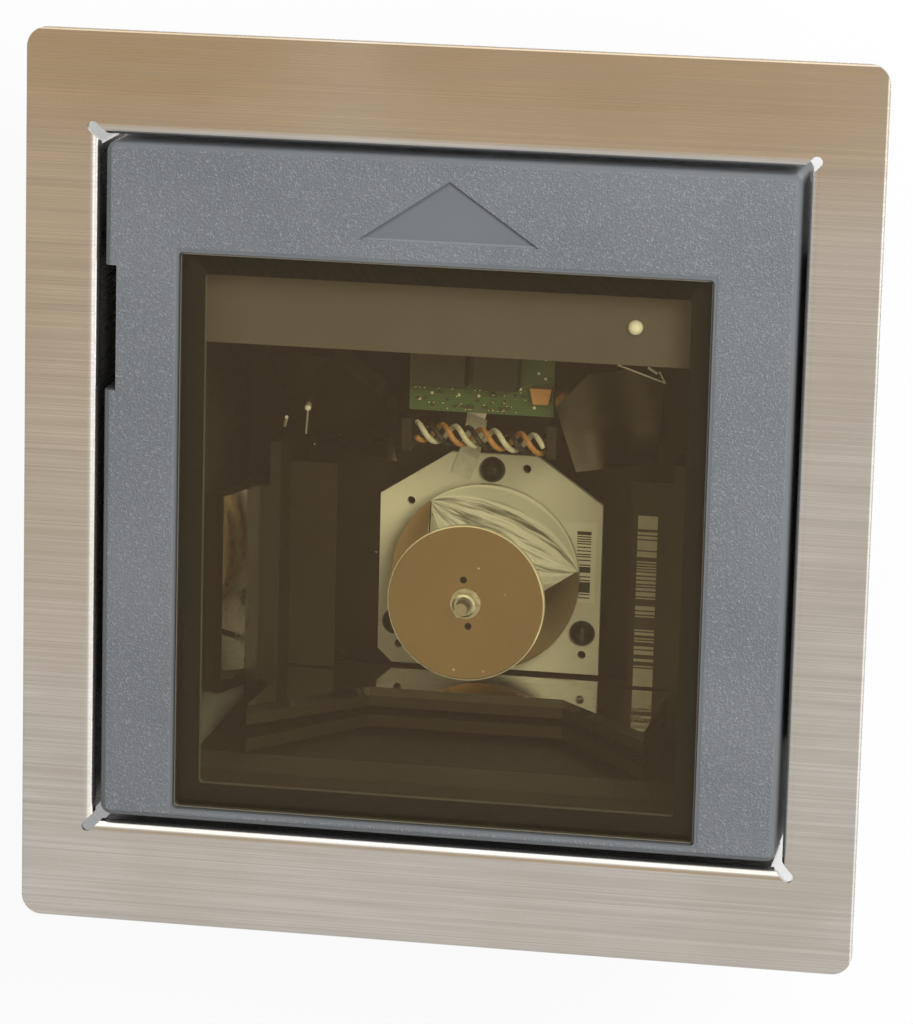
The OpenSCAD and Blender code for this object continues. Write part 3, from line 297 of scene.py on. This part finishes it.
def cover_plastic():
    """Grey moulded cover with a fine spark texture and painted glints, smooth borders, and a
    smooth arrow with painted shade on its sloping sides and a painted highlight along its base.
    """
    t = new_material("spark_grey_plastic")
    xyz = t.split(t.place())
    inner = t.spread(t.outside(xyz, cover_low, cover_high), -1.3 * MM, -0.9 * MM, 1.0, 0.0)
    off_glass = t.spread(t.outside(xyz, glass_low, glass_high), 0.6 * MM, 1.1 * MM)

    # Distances into the arrow: from its two sloping sides, and up from its base
    slope = math.hypot(arrow_half, arrow_rise)
    up = t.minus(xyz[Y], cover_high[Y] - arrow_margin - arrow_rise)
    level = t.mul(t.minus(arrow_half, t.absolute(xyz[X])), arrow_rise / slope)
    sides = t.minus(level, t.mul(up, arrow_half / slope))
    inside = t.least(sides, up)
    in_arrow = t.spread(inside, -0.1 * MM, 0.2 * MM)
    foot = t.spread(inside, -0.3 * MM, 0.7 * MM, smooth=True)
    rough_skin = t.mul(t.mul(inner, off_glass), t.spread(in_arrow, 0.0, 1.0, 1.0, 0.06))

    sparks = t.noise(t.place(), 2300, 2, 0.7)
    pits = t.cells(2100)["Distance"]
    height = t.mul(t.mul_add(pits, 0.8, sparks), rough_skin)
    cloud = t.noise(t.place(), 30, 3, 0.5)
    base = t.blend(t.spread(cloud, 0.35, 0.65), (0.133, 0.142, 0.151), (0.152, 0.161, 0.170))
    # Painted glints: pale specks where the spark texture peaks, on the rough skin only
    painted_glints = t.spread(sparks, 0.54, 0.70, 0.0, 0.8)
    base = t.blend(t.mul(painted_glints, rough_skin), base, (0.27, 0.285, 0.30))
    base = t.blend(rough_skin, t.blend(0.5, base, (0.12, 0.13, 0.14)), base)
    # Painted shade along the arrow's two sloping sides, and a painted highlight along its base
    shadow = t.mul(t.spread(sides, 0.0, 0.9 * MM, 0.75, 0.0), in_arrow)
    base = t.blend(shadow, base, (0.05, 0.053, 0.057))
    painted_base_highlight = t.mul(t.spread(up, 0.0, 0.5 * MM, 0.7, 0.0), in_arrow)
    base = t.blend(painted_base_highlight, base, (0.30, 0.315, 0.33))
    rough = t.spread(rough_skin, 0.0, 1.0, 0.42, 0.44)
    step = t.bump(t.minus(1.0, foot), 0.5, 0.3 * MM)
    return t.finish(t.surface(base, rough, 0.0, t.bump(height, 0.75, 0.26 * MM, step)))


def window_glass():
    """Brown tinted glass: clear enough to see the mirrors, with a few specks of dust.

    It mirrors more the more it is tilted, by the same share on both faces, so that
    its lower face never turns into a full mirror and hides the inside.
    """
    flat_share, tilted_share = 0.05, 0.95
    t = new_material("tinted_glass")
    smear = t.noise(t.place(), 14, 4, 0.6)
    tint = t.blend(t.spread(smear, 0.35, 0.7), (0.925, 0.90, 0.775), (0.905, 0.88, 0.75))
    clear = t.add("ShaderNodeBsdfTransparent", {"Color": tint}).outputs[0]
    shine = t.add("ShaderNodeBsdfGlossy", {
        "Color": (0.70, 0.53, 0.36),
        "Roughness": t.spread(smear, 0.3, 0.7, 0.03, 0.08)}).outputs[0]
    tilt = t.add("ShaderNodeLayerWeight", {"Blend": 0.5}).outputs["Facing"]
    mirrored = t.mul_add(t.math("POWER", tilt, 5.0), tilted_share, flat_share)
    pane = t.mix(mirrored, clear, shine)

    # Painted highlight along the glass's edge, as a pale diffuse band, and dust, on the upper
    # face only
    xyz = t.split(t.place())
    top = t.above(xyz[Z], middle(glass_low, glass_high, Z))
    painted_edge_highlight = t.spread(t.outside(xyz, glass_low, glass_high), -0.45 * MM, -0.2 * MM, 0.0, 0.75)
    pane = t.mix(t.mul(painted_edge_highlight, top), pane, t.diffuse((0.42, 0.385, 0.31)))
    dots = t.cells(210)
    close = t.spread(dots["Distance"], 0.02, 0.055, 1.0, 0.0)
    some = t.above(t.channel(dots["Color"], 0), 0.955)
    dust = t.mul(t.mul(close, some), top)
    return t.finish(t.mix(dust, pane, t.diffuse((0.55, 0.5, 0.42))))


def moulded(name, low, high, rough, grain=900, depth=0.06 * MM, strength=0.4):
    """Moulded plastic with a fine grain between two tones."""
    t = new_material(name)
    skin = t.noise(t.place(), grain, 3, 0.6)
    cloud = t.noise(t.place(), 40, 4, 0.55)
    base = t.blend(t.spread(cloud, 0.35, 0.68), low, high)
    shade = t.spread(skin, 0.3, 0.7, rough - 0.07, rough + 0.07)
    return t.finish(t.surface(base, shade, 0.0, t.bump(skin, strength, depth)))


def metal(name, low, high, rough, grain=300, stretch=(1, 1, 1), strength=0.15):
    """Bare or plated metal with fine marks between two tones."""
    t = new_material(name)
    marks = t.noise(t.place(stretch), grain, 4, 0.6)
    cloud = t.noise(t.place(), 60, 3, 0.5)
    base = t.blend(t.spread(marks, 0.3, 0.7), low, high)
    base = t.blend(t.spread(cloud, 0.4, 0.75, 0.0, 0.3), base, low)
    shade = t.spread(marks, 0.3, 0.7, rough - 0.05, rough + 0.08)
    return t.finish(t.surface(base, shade, 1.0, t.bump(marks, strength, 0.04 * MM)))


def glossy_colour(name, low, high, rough=0.25, grain=500):
    """Insulation, resin or lacquer between two tones."""
    t = new_material(name)
    skin = t.noise(t.place(), grain, 4, 0.6)
    base = t.blend(t.spread(skin, 0.3, 0.7), low, high)
    shade = t.spread(skin, 0.3, 0.7, rough - 0.06, rough + 0.1)
    return t.finish(t.surface(base, shade, 0.0, t.bump(skin, 0.12, 0.03 * MM)))


def mirror_glass():
    """Front-surface mirror with dust and dull ground edges."""
    t = new_material("front_mirror_glass")
    dust = t.noise(t.place(), 260, 5, 0.7)
    base = t.blend(t.spread(dust, 0.5, 0.8, 0.0, 0.6), (0.86, 0.87, 0.87), (0.5, 0.48, 0.44))
    facing = t.split(t.add("ShaderNodeTexCoord").outputs["Normal"])
    cut = t.above(facing[Z], 0.9)
    base = t.blend(cut, base, (0.11, 0.115, 0.10))
    rough = t.mul_add(cut, 0.4, t.spread(dust, 0.45, 0.8, 0.02, 0.3))
    return t.finish(t.surface(base, rough, 1.0, t.bump(dust, 0.02, 0.01 * MM)))


def mirror_in_painted_shade():
    """The leaning mirrors, which take most of their light from the dark inside; their colour is
    darkened too, as painted shade.
    """
    t = new_material("leaning_mirror_glass")
    dust = t.noise(t.place(), 180, 5, 0.7)
    film = t.noise(t.place(), 34, 4, 0.6, 0.5)
    # Painted shade: a darkened copy of mirror glass, with film and dust tones
    base = t.blend(t.spread(film, 0.4, 0.7, 0.0, 0.35),
        (0.31, 0.275, 0.235), (0.23, 0.20, 0.165))
    base = t.blend(t.spread(dust, 0.55, 0.8, 0.0, 0.4), base, (0.50, 0.44, 0.37))
    rough = t.spread(film, 0.3, 0.75, 0.18, 0.32)
    return t.finish(t.surface(base, rough, 1.0, t.bump(dust, 0.02, 0.01 * MM)))


def rotor_metal():
    """Polished rotor: tan like the cap, with painted shade towards +X, and a silvery painted
    reflection with long streaks beyond the first facet.
    """
    bright = (1.0, 1.0, 0.97)
    t = new_material("polished_rotor")
    centre = t.place(at=(-axis_x, -axis_y, 0))
    xyz = t.split(centre)

    # Out from the facet and along it; height runs from the facet to the rotor's edge
    out_x, out_y = math.cos(facet_turn), math.sin(facet_turn)
    out = t.mul_add(xyz[X], out_x, t.mul(xyz[Y], out_y))
    along = t.mul_add(xyz[X], -out_y, t.mul(xyz[Y], out_x))
    edge = t.math("SQRT", t.minus(rotor_r * rotor_r, t.mul(along, along)))
    past = t.minus(out, facet_in)
    height = t.math("DIVIDE", past, t.minus(edge, facet_in))
    painted_reflection_part = t.above(past, 0.0)

    # Painted reflection beyond the first facet: a silvery base with long bright streaks, a bright
    # arc where lane is near 0.70, and a bright line near the rotor's edge
    lane = t.mul_add(t.noise(centre, 90, 2, 0.5), 0.22, height)
    streak = t.join(lane, t.mul(along, 8))
    shine = t.mul_add(t.noise(streak, 17, 2, 0.6), 0.3, t.mul(t.noise(streak, 4.2, 2, 0.55), 0.7))
    painted_silver_reflection = t.blend(t.spread(shine, 0.37, 0.59, smooth=True), (0.20, 0.20, 0.17), bright)
    painted_silver_reflection = t.blend(t.spread(lane, 0.68, 0.82, smooth=True), painted_silver_reflection, (0.76, 0.77, 0.72))
    painted_silver_reflection = t.blend(t.near(lane, 0.70, 0.028), painted_silver_reflection, bright)
    painted_silver_reflection = t.blend(t.near(height, 0.96, 0.035), painted_silver_reflection, (0.97, 0.96, 0.90))
    # Painted shade: the tan darkens towards +X
    shade = t.spread(xyz[X], -12 * MM, 20 * MM, smooth=True)
    tan = t.blend(shade, (0.46, 0.33, 0.22), (0.24, 0.19, 0.14))
    base = t.blend(painted_reflection_part, tan, painted_silver_reflection)
    rough = t.spread(shine, 0.35, 0.62, 0.16, 0.26)
    # The painted reflection is made less metallic, so that its pale colour shows as light
    metal_share = t.spread(painted_reflection_part, 0.0, 1.0, 0.9, 0.15)
    return t.finish(t.surface(base, rough, metal_share, t.bump(shine, 0.1, 0.4 * MM)))


def cap_metal():
    """Round cap of the spinner: polished tan metal, a painted highlight around its rim, and a few
    dust specks.
    """
    rim_highlight_width = 0.45 * MM
    t = new_material("polished_cap")
    xyz = t.split(t.place(at=(-axis_x, -axis_y, 0)))
    radius = t.math("SQRT", t.mul_add(xyz[Y], xyz[Y], t.mul(xyz[X], xyz[X])))
    lathe = t.noise(t.join(radius), 6000, 2, 0.5)
    cloud = t.noise(t.place(), 70, 4, 0.6)
    base = t.blend(t.spread(cloud, 0.35, 0.7), (0.385, 0.272, 0.17), (0.415, 0.297, 0.185))
    dots = t.cells(330)
    close = t.spread(dots["Distance"], 0.04, 0.13, 1.0, 0.0)
    some = t.above(t.channel(dots["Color"], 1), 0.82)
    base = t.blend(t.mul(close, some), base, (0.9, 0.85, 0.75))
    rough = t.spread(lathe, 0.3, 0.7, 0.06, 0.10)
    # Painted highlight: a pale, less metallic ring at the rim
    inner = t.spread(radius, cap_r - rim_highlight_width, cap_r, 1.0, 0.0, smooth=True)
    base = t.blend(inner, (0.86, 0.83, 0.74), base)
    metal_share = t.spread(inner, 0.0, 1.0, 0.2, 0.9)
    normal = t.bump(lathe, 0.02, 0.01 * MM, t.bump(inner, 0.6, 0.3 * MM))
    return t.finish(t.surface(base, rough, metal_share, normal))


def plate_paint():
    """Light motor plate with a satin coat, faint stains and rubbed edges."""
    t = new_material("plate_coat")
    skin = t.noise(t.place(), 700, 3, 0.6)
    stain = t.noise(t.place(), 48, 5, 0.6, 0.4)
    base = t.blend(t.spread(stain, 0.35, 0.7), (0.76, 0.76, 0.71), (0.86, 0.85, 0.79))
    worn = t.add("ShaderNodeNewGeometry").outputs["Pointiness"]
    base = t.blend(t.spread(worn, 0.52, 0.58, 0.0, 0.6), base, (0.92, 0.9, 0.84))
    rough = t.spread(skin, 0.3, 0.7, 0.36, 0.5)
    return t.finish(t.surface(base, rough, 0.0, t.bump(skin, 0.2, 0.03 * MM)))


def circuit_board():
    """Green solder mask over fine tracks, with scattered bright pads."""
    t = new_material("solder_mask")
    bricks = t.add("ShaderNodeTexBrick", {
        "Vector": t.place(), "Scale": 420, "Mortar Size": 0.06, "Mortar Smooth": 0.2,
        "Color1": (0.045, 0.088, 0.034), "Color2": (0.058, 0.108, 0.042),
        "Mortar": (0.085, 0.15, 0.07)}).outputs["Color"]
    cloud = t.noise(t.place(), 130, 4, 0.6)
    base = t.blend(t.spread(cloud, 0.3, 0.7, 0.0, 0.6), bricks, (0.05, 0.10, 0.04))
    dots = t.cells(620)
    close = t.below(dots["Distance"], 0.22)
    some = t.above(t.channel(dots["Color"], 2), 0.9)
    base = t.blend(t.mul(close, some), base, (0.75, 0.7, 0.55))
    rough = t.spread(cloud, 0.3, 0.7, 0.28, 0.4)
    return t.finish(t.surface(base, rough, 0.0, t.bump(cloud, 0.1, 0.03 * MM)))


def dome_lens():
    """Milky lens of the status light."""
    t = new_material("milky_lens")
    cloud = t.noise(t.place(), 900, 3, 0.5)
    base = t.blend(cloud, (0.86, 0.86, 0.82), (0.95, 0.95, 0.92))
    rough = t.spread(cloud, 0.3, 0.7, 0.08, 0.16)
    return t.finish(t.surface(base, rough, 0.0, Coat_Weight=0.8, Coat_Roughness=0.05))


def bar_label(name, low, high, along, across, cell):
    """Pale label with plain bars of several widths; it says nothing.

    The bars follow each other along Y within along = (first, last), in steps of
    cell, and reach over X within across = (first, last).
    """
    t = new_material(name)
    xyz = t.split(t.place())
    step = t.math("FLOOR", t.math("DIVIDE", xyz[Y], cell))
    draw = t.add("ShaderNodeTexWhiteNoise", {"W": step}, noise_dimensions="1D").outputs["Value"]
    bars = t.above(draw, 0.5)
    for axis, (first, last) in ((Y, along), (X, across)):
        bars = t.mul(bars, t.mul(t.above(xyz[axis], first), t.below(xyz[axis], last)))
    paper = t.noise(t.place(), 420, 4, 0.6)
    base = t.blend(t.spread(paper, 0.3, 0.7), low, high)
    base = t.blend(bars, base, (0.05, 0.045, 0.035))
    rough = t.spread(paper, 0.3, 0.7, 0.4, 0.55)
    return t.finish(t.surface(base, rough, 0.0, t.bump(paper, 0.1, 0.02 * MM)))


steel = brushed_steel()
grey = cover_plastic()
tinted = window_glass()
mirror = mirror_glass()
dark_mirror = mirror_in_painted_shade()
rotor = rotor_metal()
cap = cap_metal()
plate = plate_paint()
board = circuit_board()
lens = dome_lens()

border_black = moulded("black_border", (0.004, 0.0035, 0.003), (0.006, 0.005, 0.0045), 0.6,
    depth=0.02 * MM, strength=0.2)
housing_black = moulded("housing_black", (0.030, 0.030, 0.031), (0.042, 0.042, 0.043), 0.55,
    grain=1100, depth=0.1 * MM, strength=0.5)
chassis_black = moulded("tray_black", (0.010, 0.008, 0.006), (0.017, 0.014, 0.011), 0.5)
connector_black = moulded("connector_black", (0.016, 0.015, 0.014), (0.03, 0.028, 0.026), 0.4)
khaki = moulded("band_paint", (0.089, 0.084, 0.080), (0.101, 0.095, 0.090), 0.55, grain=800)

screw_metal = metal("plated_screw", (0.52, 0.52, 0.5), (0.7, 0.7, 0.68), 0.3)
nut_plating = metal("plated_nut", (0.70, 0.69, 0.64), (0.93, 0.92, 0.87), 0.3,
    grain=1500, strength=0.5)
shaft_metal = metal("ground_shaft", (0.50, 0.46, 0.38), (0.70, 0.66, 0.57), 0.16, grain=1200)
brass = metal("turned_brass", (0.62, 0.46, 0.2), (0.78, 0.6, 0.3), 0.28)
bronze = metal("sintered_bronze", (0.42, 0.3, 0.16), (0.58, 0.42, 0.24), 0.45, grain=1200)
alloy = metal("milled_alloy", (0.5, 0.5, 0.51), (0.66, 0.66, 0.67), 0.35,
    grain=400, stretch=(6, 1, 1))
lamination = metal("stacked_sheet", (0.28, 0.28, 0.29), (0.42, 0.42, 0.43), 0.4,
    grain=2400, stretch=(0.1, 0.1, 1))
copper = metal("enamelled_copper", (0.55, 0.22, 0.1), (0.75, 0.36, 0.18), 0.3,
    grain=2200, stretch=(0.1, 0.1, 1))
magnet = metal("bonded_magnet", (0.08, 0.08, 0.085), (0.14, 0.14, 0.145), 0.5, grain=1500)
solder = metal("solder", (0.7, 0.7, 0.68), (0.85, 0.85, 0.82), 0.2, grain=900)

rubber = glossy_colour("isolator_rubber", (0.010, 0.009, 0.008), (0.018, 0.016, 0.014), 0.16)
orange_resin = glossy_colour("orange_resin", (0.42, 0.20, 0.085), (0.52, 0.27, 0.12), 0.3)
led = glossy_colour("led_body", (0.78, 0.78, 0.72), (0.9, 0.9, 0.84), 0.3)
grey_cable = glossy_colour("flat_cable", (0.36, 0.36, 0.34), (0.46, 0.46, 0.43), 0.4)
white_lead = glossy_colour("white_insulation", (0.56, 0.54, 0.46), (0.70, 0.68, 0.59), 0.24)
orange_lead = glossy_colour("orange_insulation", (0.40, 0.19, 0.07), (0.54, 0.27, 0.11), 0.24)
black_lead = glossy_colour("black_insulation", (0.012, 0.011, 0.010), (0.03, 0.028, 0.025), 0.24)
ribbon_white = glossy_colour("ribbon_white", (0.70, 0.69, 0.63), (0.84, 0.83, 0.77), 0.4)
# A pale, not metallic colour for the clip wires: painted glints
painted_glint_wire = glossy_colour("painted_glint_wire", (0.80, 0.79, 0.74), (0.92, 0.91, 0.87), 0.2)
chip_body = glossy_colour("chip_body", (0.03, 0.028, 0.025), (0.09, 0.08, 0.06), 0.35)

looks = {
    # Outside
    "mounting_frame": steel, "top_cover": grey, "window_glass": tinted,
    "window_tape": border_black, "bottom_housing": housing_black, "housing_screws": screw_metal,
    # Optics tray
    "optics_chassis": chassis_black, "chassis_screws": screw_metal, "laser_module": brass,
    "laser_bracket": alloy, "photodiode": connector_black, "collecting_mirror": dark_mirror,
    "east_mirror": mirror, "west_mirror": mirror, "front_mirror": mirror,
    "rear_right_mirror": dark_mirror, "rear_left_mirror": dark_mirror,
    # Motor and spinner
    "motor_plate": plate, "bearing_sleeve": bronze, "thrust_cap": screw_metal,
    "stator_core": lamination, "rotor_cup": rotor, "rotor_magnet": magnet,
    "spinner_shaft": shaft_metal, "spinner_core": chassis_black, "spinner_cap": cap,
    "spinner_washer": nut_plating, "spinner_nut": nut_plating,
    # Electronics
    "electronics_cover": khaki, "status_lens": lens, "status_led": led, "status_board": board,
    "main_board": board, "interface_board": board, "motor_connector": connector_black,
    "sensor_connector": connector_black, "capacitor": orange_resin,
    "data_port": connector_black, "power_port": connector_black, "beeper": connector_black,
    "link_cable": grey_cable, "motor_ribbon": ribbon_white, "lead_white": white_lead,
    "lead_orange": orange_lead, "lead_black": black_lead,
}
for index in (1, 2, 3):
    looks["isolator_%d" % index] = rubber
    looks["facet_mirror_%d" % index] = mirror
for index in range(1, 7):
    looks["coil_%d" % index] = copper


def dress(node, mat):
    """Gives a CAD node's object that material."""
    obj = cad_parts[node]
    if not obj.material_slots:
        obj.data.materials.append(mat)
    for slot in obj.material_slots:
        slot.material = mat


for node, mat in looks.items():
    dress(node, mat)


# New pieces

def piece(name, mesh_maker, mat, body):
    """An object from a bmesh, riding on a body, with its material slot named."""
    made = bmesh.new()
    mesh_maker(made)
    bmesh.ops.recalc_face_normals(made, faces=made.faces)
    mesh = bpy.data.meshes.new(name)
    made.to_mesh(mesh)
    made.free()
    obj = bpy.data.objects.new(name, mesh)
    bpy.context.scene.collection.objects.link(obj)
    mesh.materials.append(mat)
    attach(obj, body)


def add_block(made, low, high, edge):
    """A box between two corners, its edges rounded by edge."""
    low, high = Vector(low), Vector(high)
    cube = bmesh.ops.create_cube(made, size=1.0)["verts"]
    bmesh.ops.scale(made, vec=high - low, verts=cube)
    bmesh.ops.translate(made, vec=(low + high) / 2, verts=cube)
    edges = list({e for v in cube for e in v.link_edges})
    bmesh.ops.bevel(made, geom=edges, offset=edge, offset_type="OFFSET", segments=2,
        profile=0.5, affect="EDGES", material=-1)


def add_ball(made, centre, radius, around, up, flatten=1.0):
    """A ball, lower than it is wide if flatten is under 1."""
    ball = bmesh.ops.create_uvsphere(made, u_segments=around, v_segments=up,
        radius=radius)["verts"]
    bmesh.ops.scale(made, vec=(1, 1, flatten), verts=ball)
    bmesh.ops.translate(made, vec=centre, verts=ball)


def add_cone(made, low_r, high_r, length, segments):
    """A closed cone or cylinder about the origin; returns its vertices."""
    return bmesh.ops.create_cone(made, cap_ends=True, segments=segments, radius1=low_r,
        radius2=high_r, depth=length)["verts"]


def add_rod(made, start, end, radius):
    """A thin round wire between two points."""
    run = end - start
    rod = add_cone(made, radius, radius, run.length, 14)
    turn = Vector((0, 0, 1)).rotation_difference(run).to_matrix()
    bmesh.ops.rotate(made, cent=(0, 0, 0), matrix=turn, verts=rod)
    bmesh.ops.translate(made, vec=(start + end) / 2, verts=rod)


# Labels lie on their carriers, a paper's thickness thick
paper_t = 0.08 * MM
paper_edge = 0.02 * MM
rail_top = 40 * MM
rail_label_low = Vector((36.0, -53.1, 0)) * MM
rail_label_high = Vector((40.6, -12.7, 0)) * MM
plate_label_low = Vector((13.9, -36.0, 0)) * MM
plate_label_high = Vector((25.4, -17.0, 0)) * MM


def rail_label(made):
    add_block(made, (rail_label_low.x, rail_label_low.y, rail_top),
        (rail_label_high.x, rail_label_high.y, rail_top + paper_t), paper_edge)


def plate_label(made):
    add_block(made, (plate_label_low.x, plate_label_low.y, plate_top),
        (plate_label_high.x, plate_label_high.y, plate_top + paper_t), paper_edge)


rail_bars = bar_label("rail_label_paper", (0.62, 0.60, 0.5), (0.72, 0.7, 0.6),
    along=(rail_label_low.y + 3.4 * MM, rail_label_high.y - 2.8 * MM),
    across=(rail_label_low.x - MM, rail_label_high.x + MM), cell=0.33 * MM)
plate_bars = bar_label("plate_label_paper", (0.95, 0.95, 0.90), (0.98, 0.98, 0.94),
    along=(plate_label_low.y + MM, plate_label_high.y - MM),
    across=(20.9 * MM, 24.2 * MM), cell=0.28 * MM)


# Small parts along the main board's front edge; sizes and places in millimetres
def board_parts(made):
    """Chips of three sizes, left out where the capacitor stands."""
    count, first_x, pitch = 17, -12.6, 1.72
    rows = (14.3, 15.8, 17.4)
    sizes = ((1.0, 0.5, 0.35), (1.6, 0.8, 0.5), (0.6, 0.6, 0.45))
    capacitor_x, capacitor_reach = 15.8, 3.4
    draw = random.Random(7)
    for step in range(count):
        x = first_x + step * pitch
        y = draw.choice(rows)
        length, width, height = draw.choice(sizes)
        if abs(x - capacitor_x) < capacitor_reach:
            continue
        add_block(made, ((x - length / 2) * MM, (y - width / 2) * MM, board_top),
            ((x + length / 2) * MM, (y + width / 2) * MM, board_top + height * MM), 0.05 * MM)


def solder_joints(made):
    count, first_x, last_x, pitch = 26, -13.2, 12.4, 1.05
    rows = (13.7, 14.9, 16.6, 18.3)
    draw = random.Random(11)
    for step in range(count):
        x = (first_x + step * pitch) * MM
        y = draw.choice(rows) * MM
        if x <= last_x * MM:
            add_ball(made, (x, y, board_top + 0.05 * MM), 0.28 * MM, 10, 6, flatten=0.6)


def header_pins(made):
    half_pin, foot, reach = 0.2, 0.1, 1.6
    for x in (4.9, 7.4):
        for y in (14.2, 15.9, 17.6):
            add_block(made, ((x - half_pin) * MM, (y - half_pin) * MM, board_top - foot * MM),
                ((x + half_pin) * MM, (y + half_pin) * MM, board_top + reach * MM), 0.06 * MM)


def mirror_clips_and_glints(made):
    """Spring wires that hold the two rear mirrors against their seats, in a pale colour that
    makes them painted glints; the short rod by the left clip and the wire along the right
    mirror's upper corner stand for glints on the mirrors' edges.
    """
    lift = 0.3 * MM
    off_left = Vector((-0.14, -0.797, 0.588)) * lift
    off_right = Vector((0.14, -0.797, 0.588)) * lift

    def on_left(*place):
        return Vector(place) * MM + off_left

    def on_right(*place):
        return Vector(place) * MM + off_right

    bead_place = on_left(-39.0, 11.0, 53.8)
    add_rod(made, bead_place, on_left(-41.8, 2.6, 41.7), 0.24 * MM)
    add_ball(made, bead_place, 0.75 * MM, 14, 10)
    # Painted glint: a short pale rod beside the left clip
    add_rod(made, on_left(-45.3, 7.2, 47.1), on_left(-46.6, 4.4, 43.0), 0.4 * MM)
    hook_end = on_right(44.9, 24.7, 70.7)
    # Painted glint: a wire along the right mirror's upper corner edge, with two short hooks
    add_rod(made, on_right(35.5, 29.9, 80.0), hook_end, 0.2 * MM)
    add_rod(made, on_right(42.0, 29.2, 77.6), on_right(43.5, 27.6, 75.0), 0.3 * MM)
    add_rod(made, on_right(44.2, 27.9, 75.3), hook_end, 0.22 * MM)


def shaft_thread(made):
    """Thread turns on the spinner's shaft: each one a ring that widens and one that narrows."""
    pitch, crest, slope = 0.5, 0.16 * MM, 0.2
    low = nut_high[Z] + 0.3 * MM
    turns = int((shaft_high[Z] - 0.4 * MM - low) / (pitch * MM))
    for step in range(turns):
        for side, radii in enumerate(((shaft_r, shaft_r + crest), (shaft_r + crest, shaft_r))):
            ring = add_cone(made, *radii, slope * MM, 32)
            up = low + (step * pitch + side * slope) * MM
            bmesh.ops.translate(made, vec=(axis_x, axis_y, up), verts=ring)


def nut_face(made):
    """The nut's turned top face."""
    rise = 0.3 * MM
    wide = half(nut_low, nut_high, Y)
    face = add_cone(made, wide * 0.97, wide * 0.8, rise, 40)
    bmesh.ops.translate(made, vec=(axis_x, axis_y, nut_high[Z] + rise / 2), verts=face)


piece("rail_label", rail_label, rail_bars, "scanner")
piece("plate_label", plate_label, plate_bars, "scanner")
piece("board_parts", board_parts, chip_body, "scanner")
piece("solder_joints", solder_joints, solder, "scanner")
piece("header_pins", header_pins, brass, "scanner")
piece("mirror_clips_and_glints", mirror_clips_and_glints, painted_glint_wire, "scanner")
piece("shaft_thread", shaft_thread, nut_plating, "spinner")
piece("nut_face", nut_face, nut_plating, "spinner")


# Floor, light and background

def make_floor():
    """A wide pale floor under the scanner, white to the camera.

    Where the flange hides it from the camera it doesn't glow, so the gaps in the
    scanner show a floor in shade.
    """
    floor_half = 4.0
    glow_share = 0.92
    made = bmesh.new()
    bmesh.ops.create_grid(made, x_segments=1, y_segments=1, size=floor_half)
    mesh = bpy.data.meshes.new("studio_floor")
    made.to_mesh(mesh)
    made.free()
    floor = bpy.data.objects.new("studio_floor", mesh)
    bpy.context.scene.collection.objects.link(floor)

    # The flange's outline, cast on the floor from the camera's place
    fall = camera_place.z / (camera_place.z - flange_high[Z])
    hidden_low, hidden_high = (
        [camera_place[axis] + (corner[axis] - camera_place[axis]) * fall for axis in (X, Y)]
        for corner in (flange_low, flange_high))
    t = new_material("studio_floor")
    xyz = t.split(t.place())
    open_floor = t.spread(t.outside(xyz, hidden_low, hidden_high), -14 * MM, -8 * MM)
    glow = t.add("ShaderNodeEmission", {"Color": (1, 1, 1), "Strength": 1.0}).outputs[0]
    seen = t.add("ShaderNodeLightPath").outputs["Is Camera Ray"]
    share = t.mul(t.mul(seen, open_floor), glow_share)
    mesh.materials.append(t.finish(t.mix(share, t.diffuse((0.8, 0.8, 0.8)), glow)))


def make_world():
    """Neutral room light, white to the camera.

    Shiny surfaces see a pale ceiling with a warm strip overhead, mostly towards -X,
    and bright sides towards +X and +Y.
    """
    world = bpy.data.worlds.new("studio_world")
    bpy.context.scene.world = world
    t = Nodes(world)
    direction = t.add("ShaderNodeTexCoord").outputs["Generated"]
    xyz = t.split(direction)
    steep = t.spread(xyz[Z], 0.3, 0.75, smooth=True)
    warm = t.mul(t.spread(xyz[Y], -0.16, -0.09, smooth=True),
        t.spread(xyz[Y], 0.12, 0.25, 1.0, 0.0, smooth=True))
    warm = t.mul(warm, t.spread(xyz[X], 0.0, 0.15, 1.0, 0.0, smooth=True))
    ceiling = t.blend(warm, (0.69, 0.665, 0.635), (0.46, 0.30, 0.11))
    ceiling = t.blend(steep, (0.60, 0.58, 0.55), ceiling)
    bright_side = t.most(t.spread(xyz[X], 0.25, 0.6, smooth=True),
        t.spread(xyz[Y], 0.3, 0.65, smooth=True))
    patches = t.spread(t.noise(direction, 3.2, 2, 0.5), 0.47, 0.58, smooth=True)
    room = t.blend(bright_side, ceiling, t.blend(patches, (1.2, 1.18, 1.14), (2.2, 2.2, 2.16)))
    paths = t.add("ShaderNodeLightPath").outputs
    seen = t.blend(paths["Is Glossy Ray"], (0.43, 0.43, 0.43), room)
    seen = t.blend(paths["Is Camera Ray"], seen, (1.0, 1.0, 1.0))
    sky = t.add("ShaderNodeBackground", {"Color": seen, "Strength": 1.0}).outputs[0]
    t.add("ShaderNodeOutputWorld", {"Surface": sky})


def soft_light(name, at, size, power):
    """A square area light aimed at the middle of the scanner's top."""
    aim = Vector((0, 0, 0.09))
    data = bpy.data.lights.new(name, "AREA")
    data.shape = "SQUARE"
    data.size = size
    data.energy = power
    lamp = bpy.data.objects.new(name, data)
    at = Vector(at)
    lamp.location = at
    lamp.visible_glossy = False
    lamp.rotation_euler = (aim - at).to_track_quat("-Z", "Y").to_euler()
    bpy.context.scene.collection.objects.link(lamp)


make_floor()
make_world()
soft_light("key_light", (0.42, 0.30, 0.74), 0.4, 7.2)
soft_light("fill_light", (-0.9, -0.4, 0.9), 0.7, 1.6)
bpy.context.scene.view_settings.view_transform = "Standard"
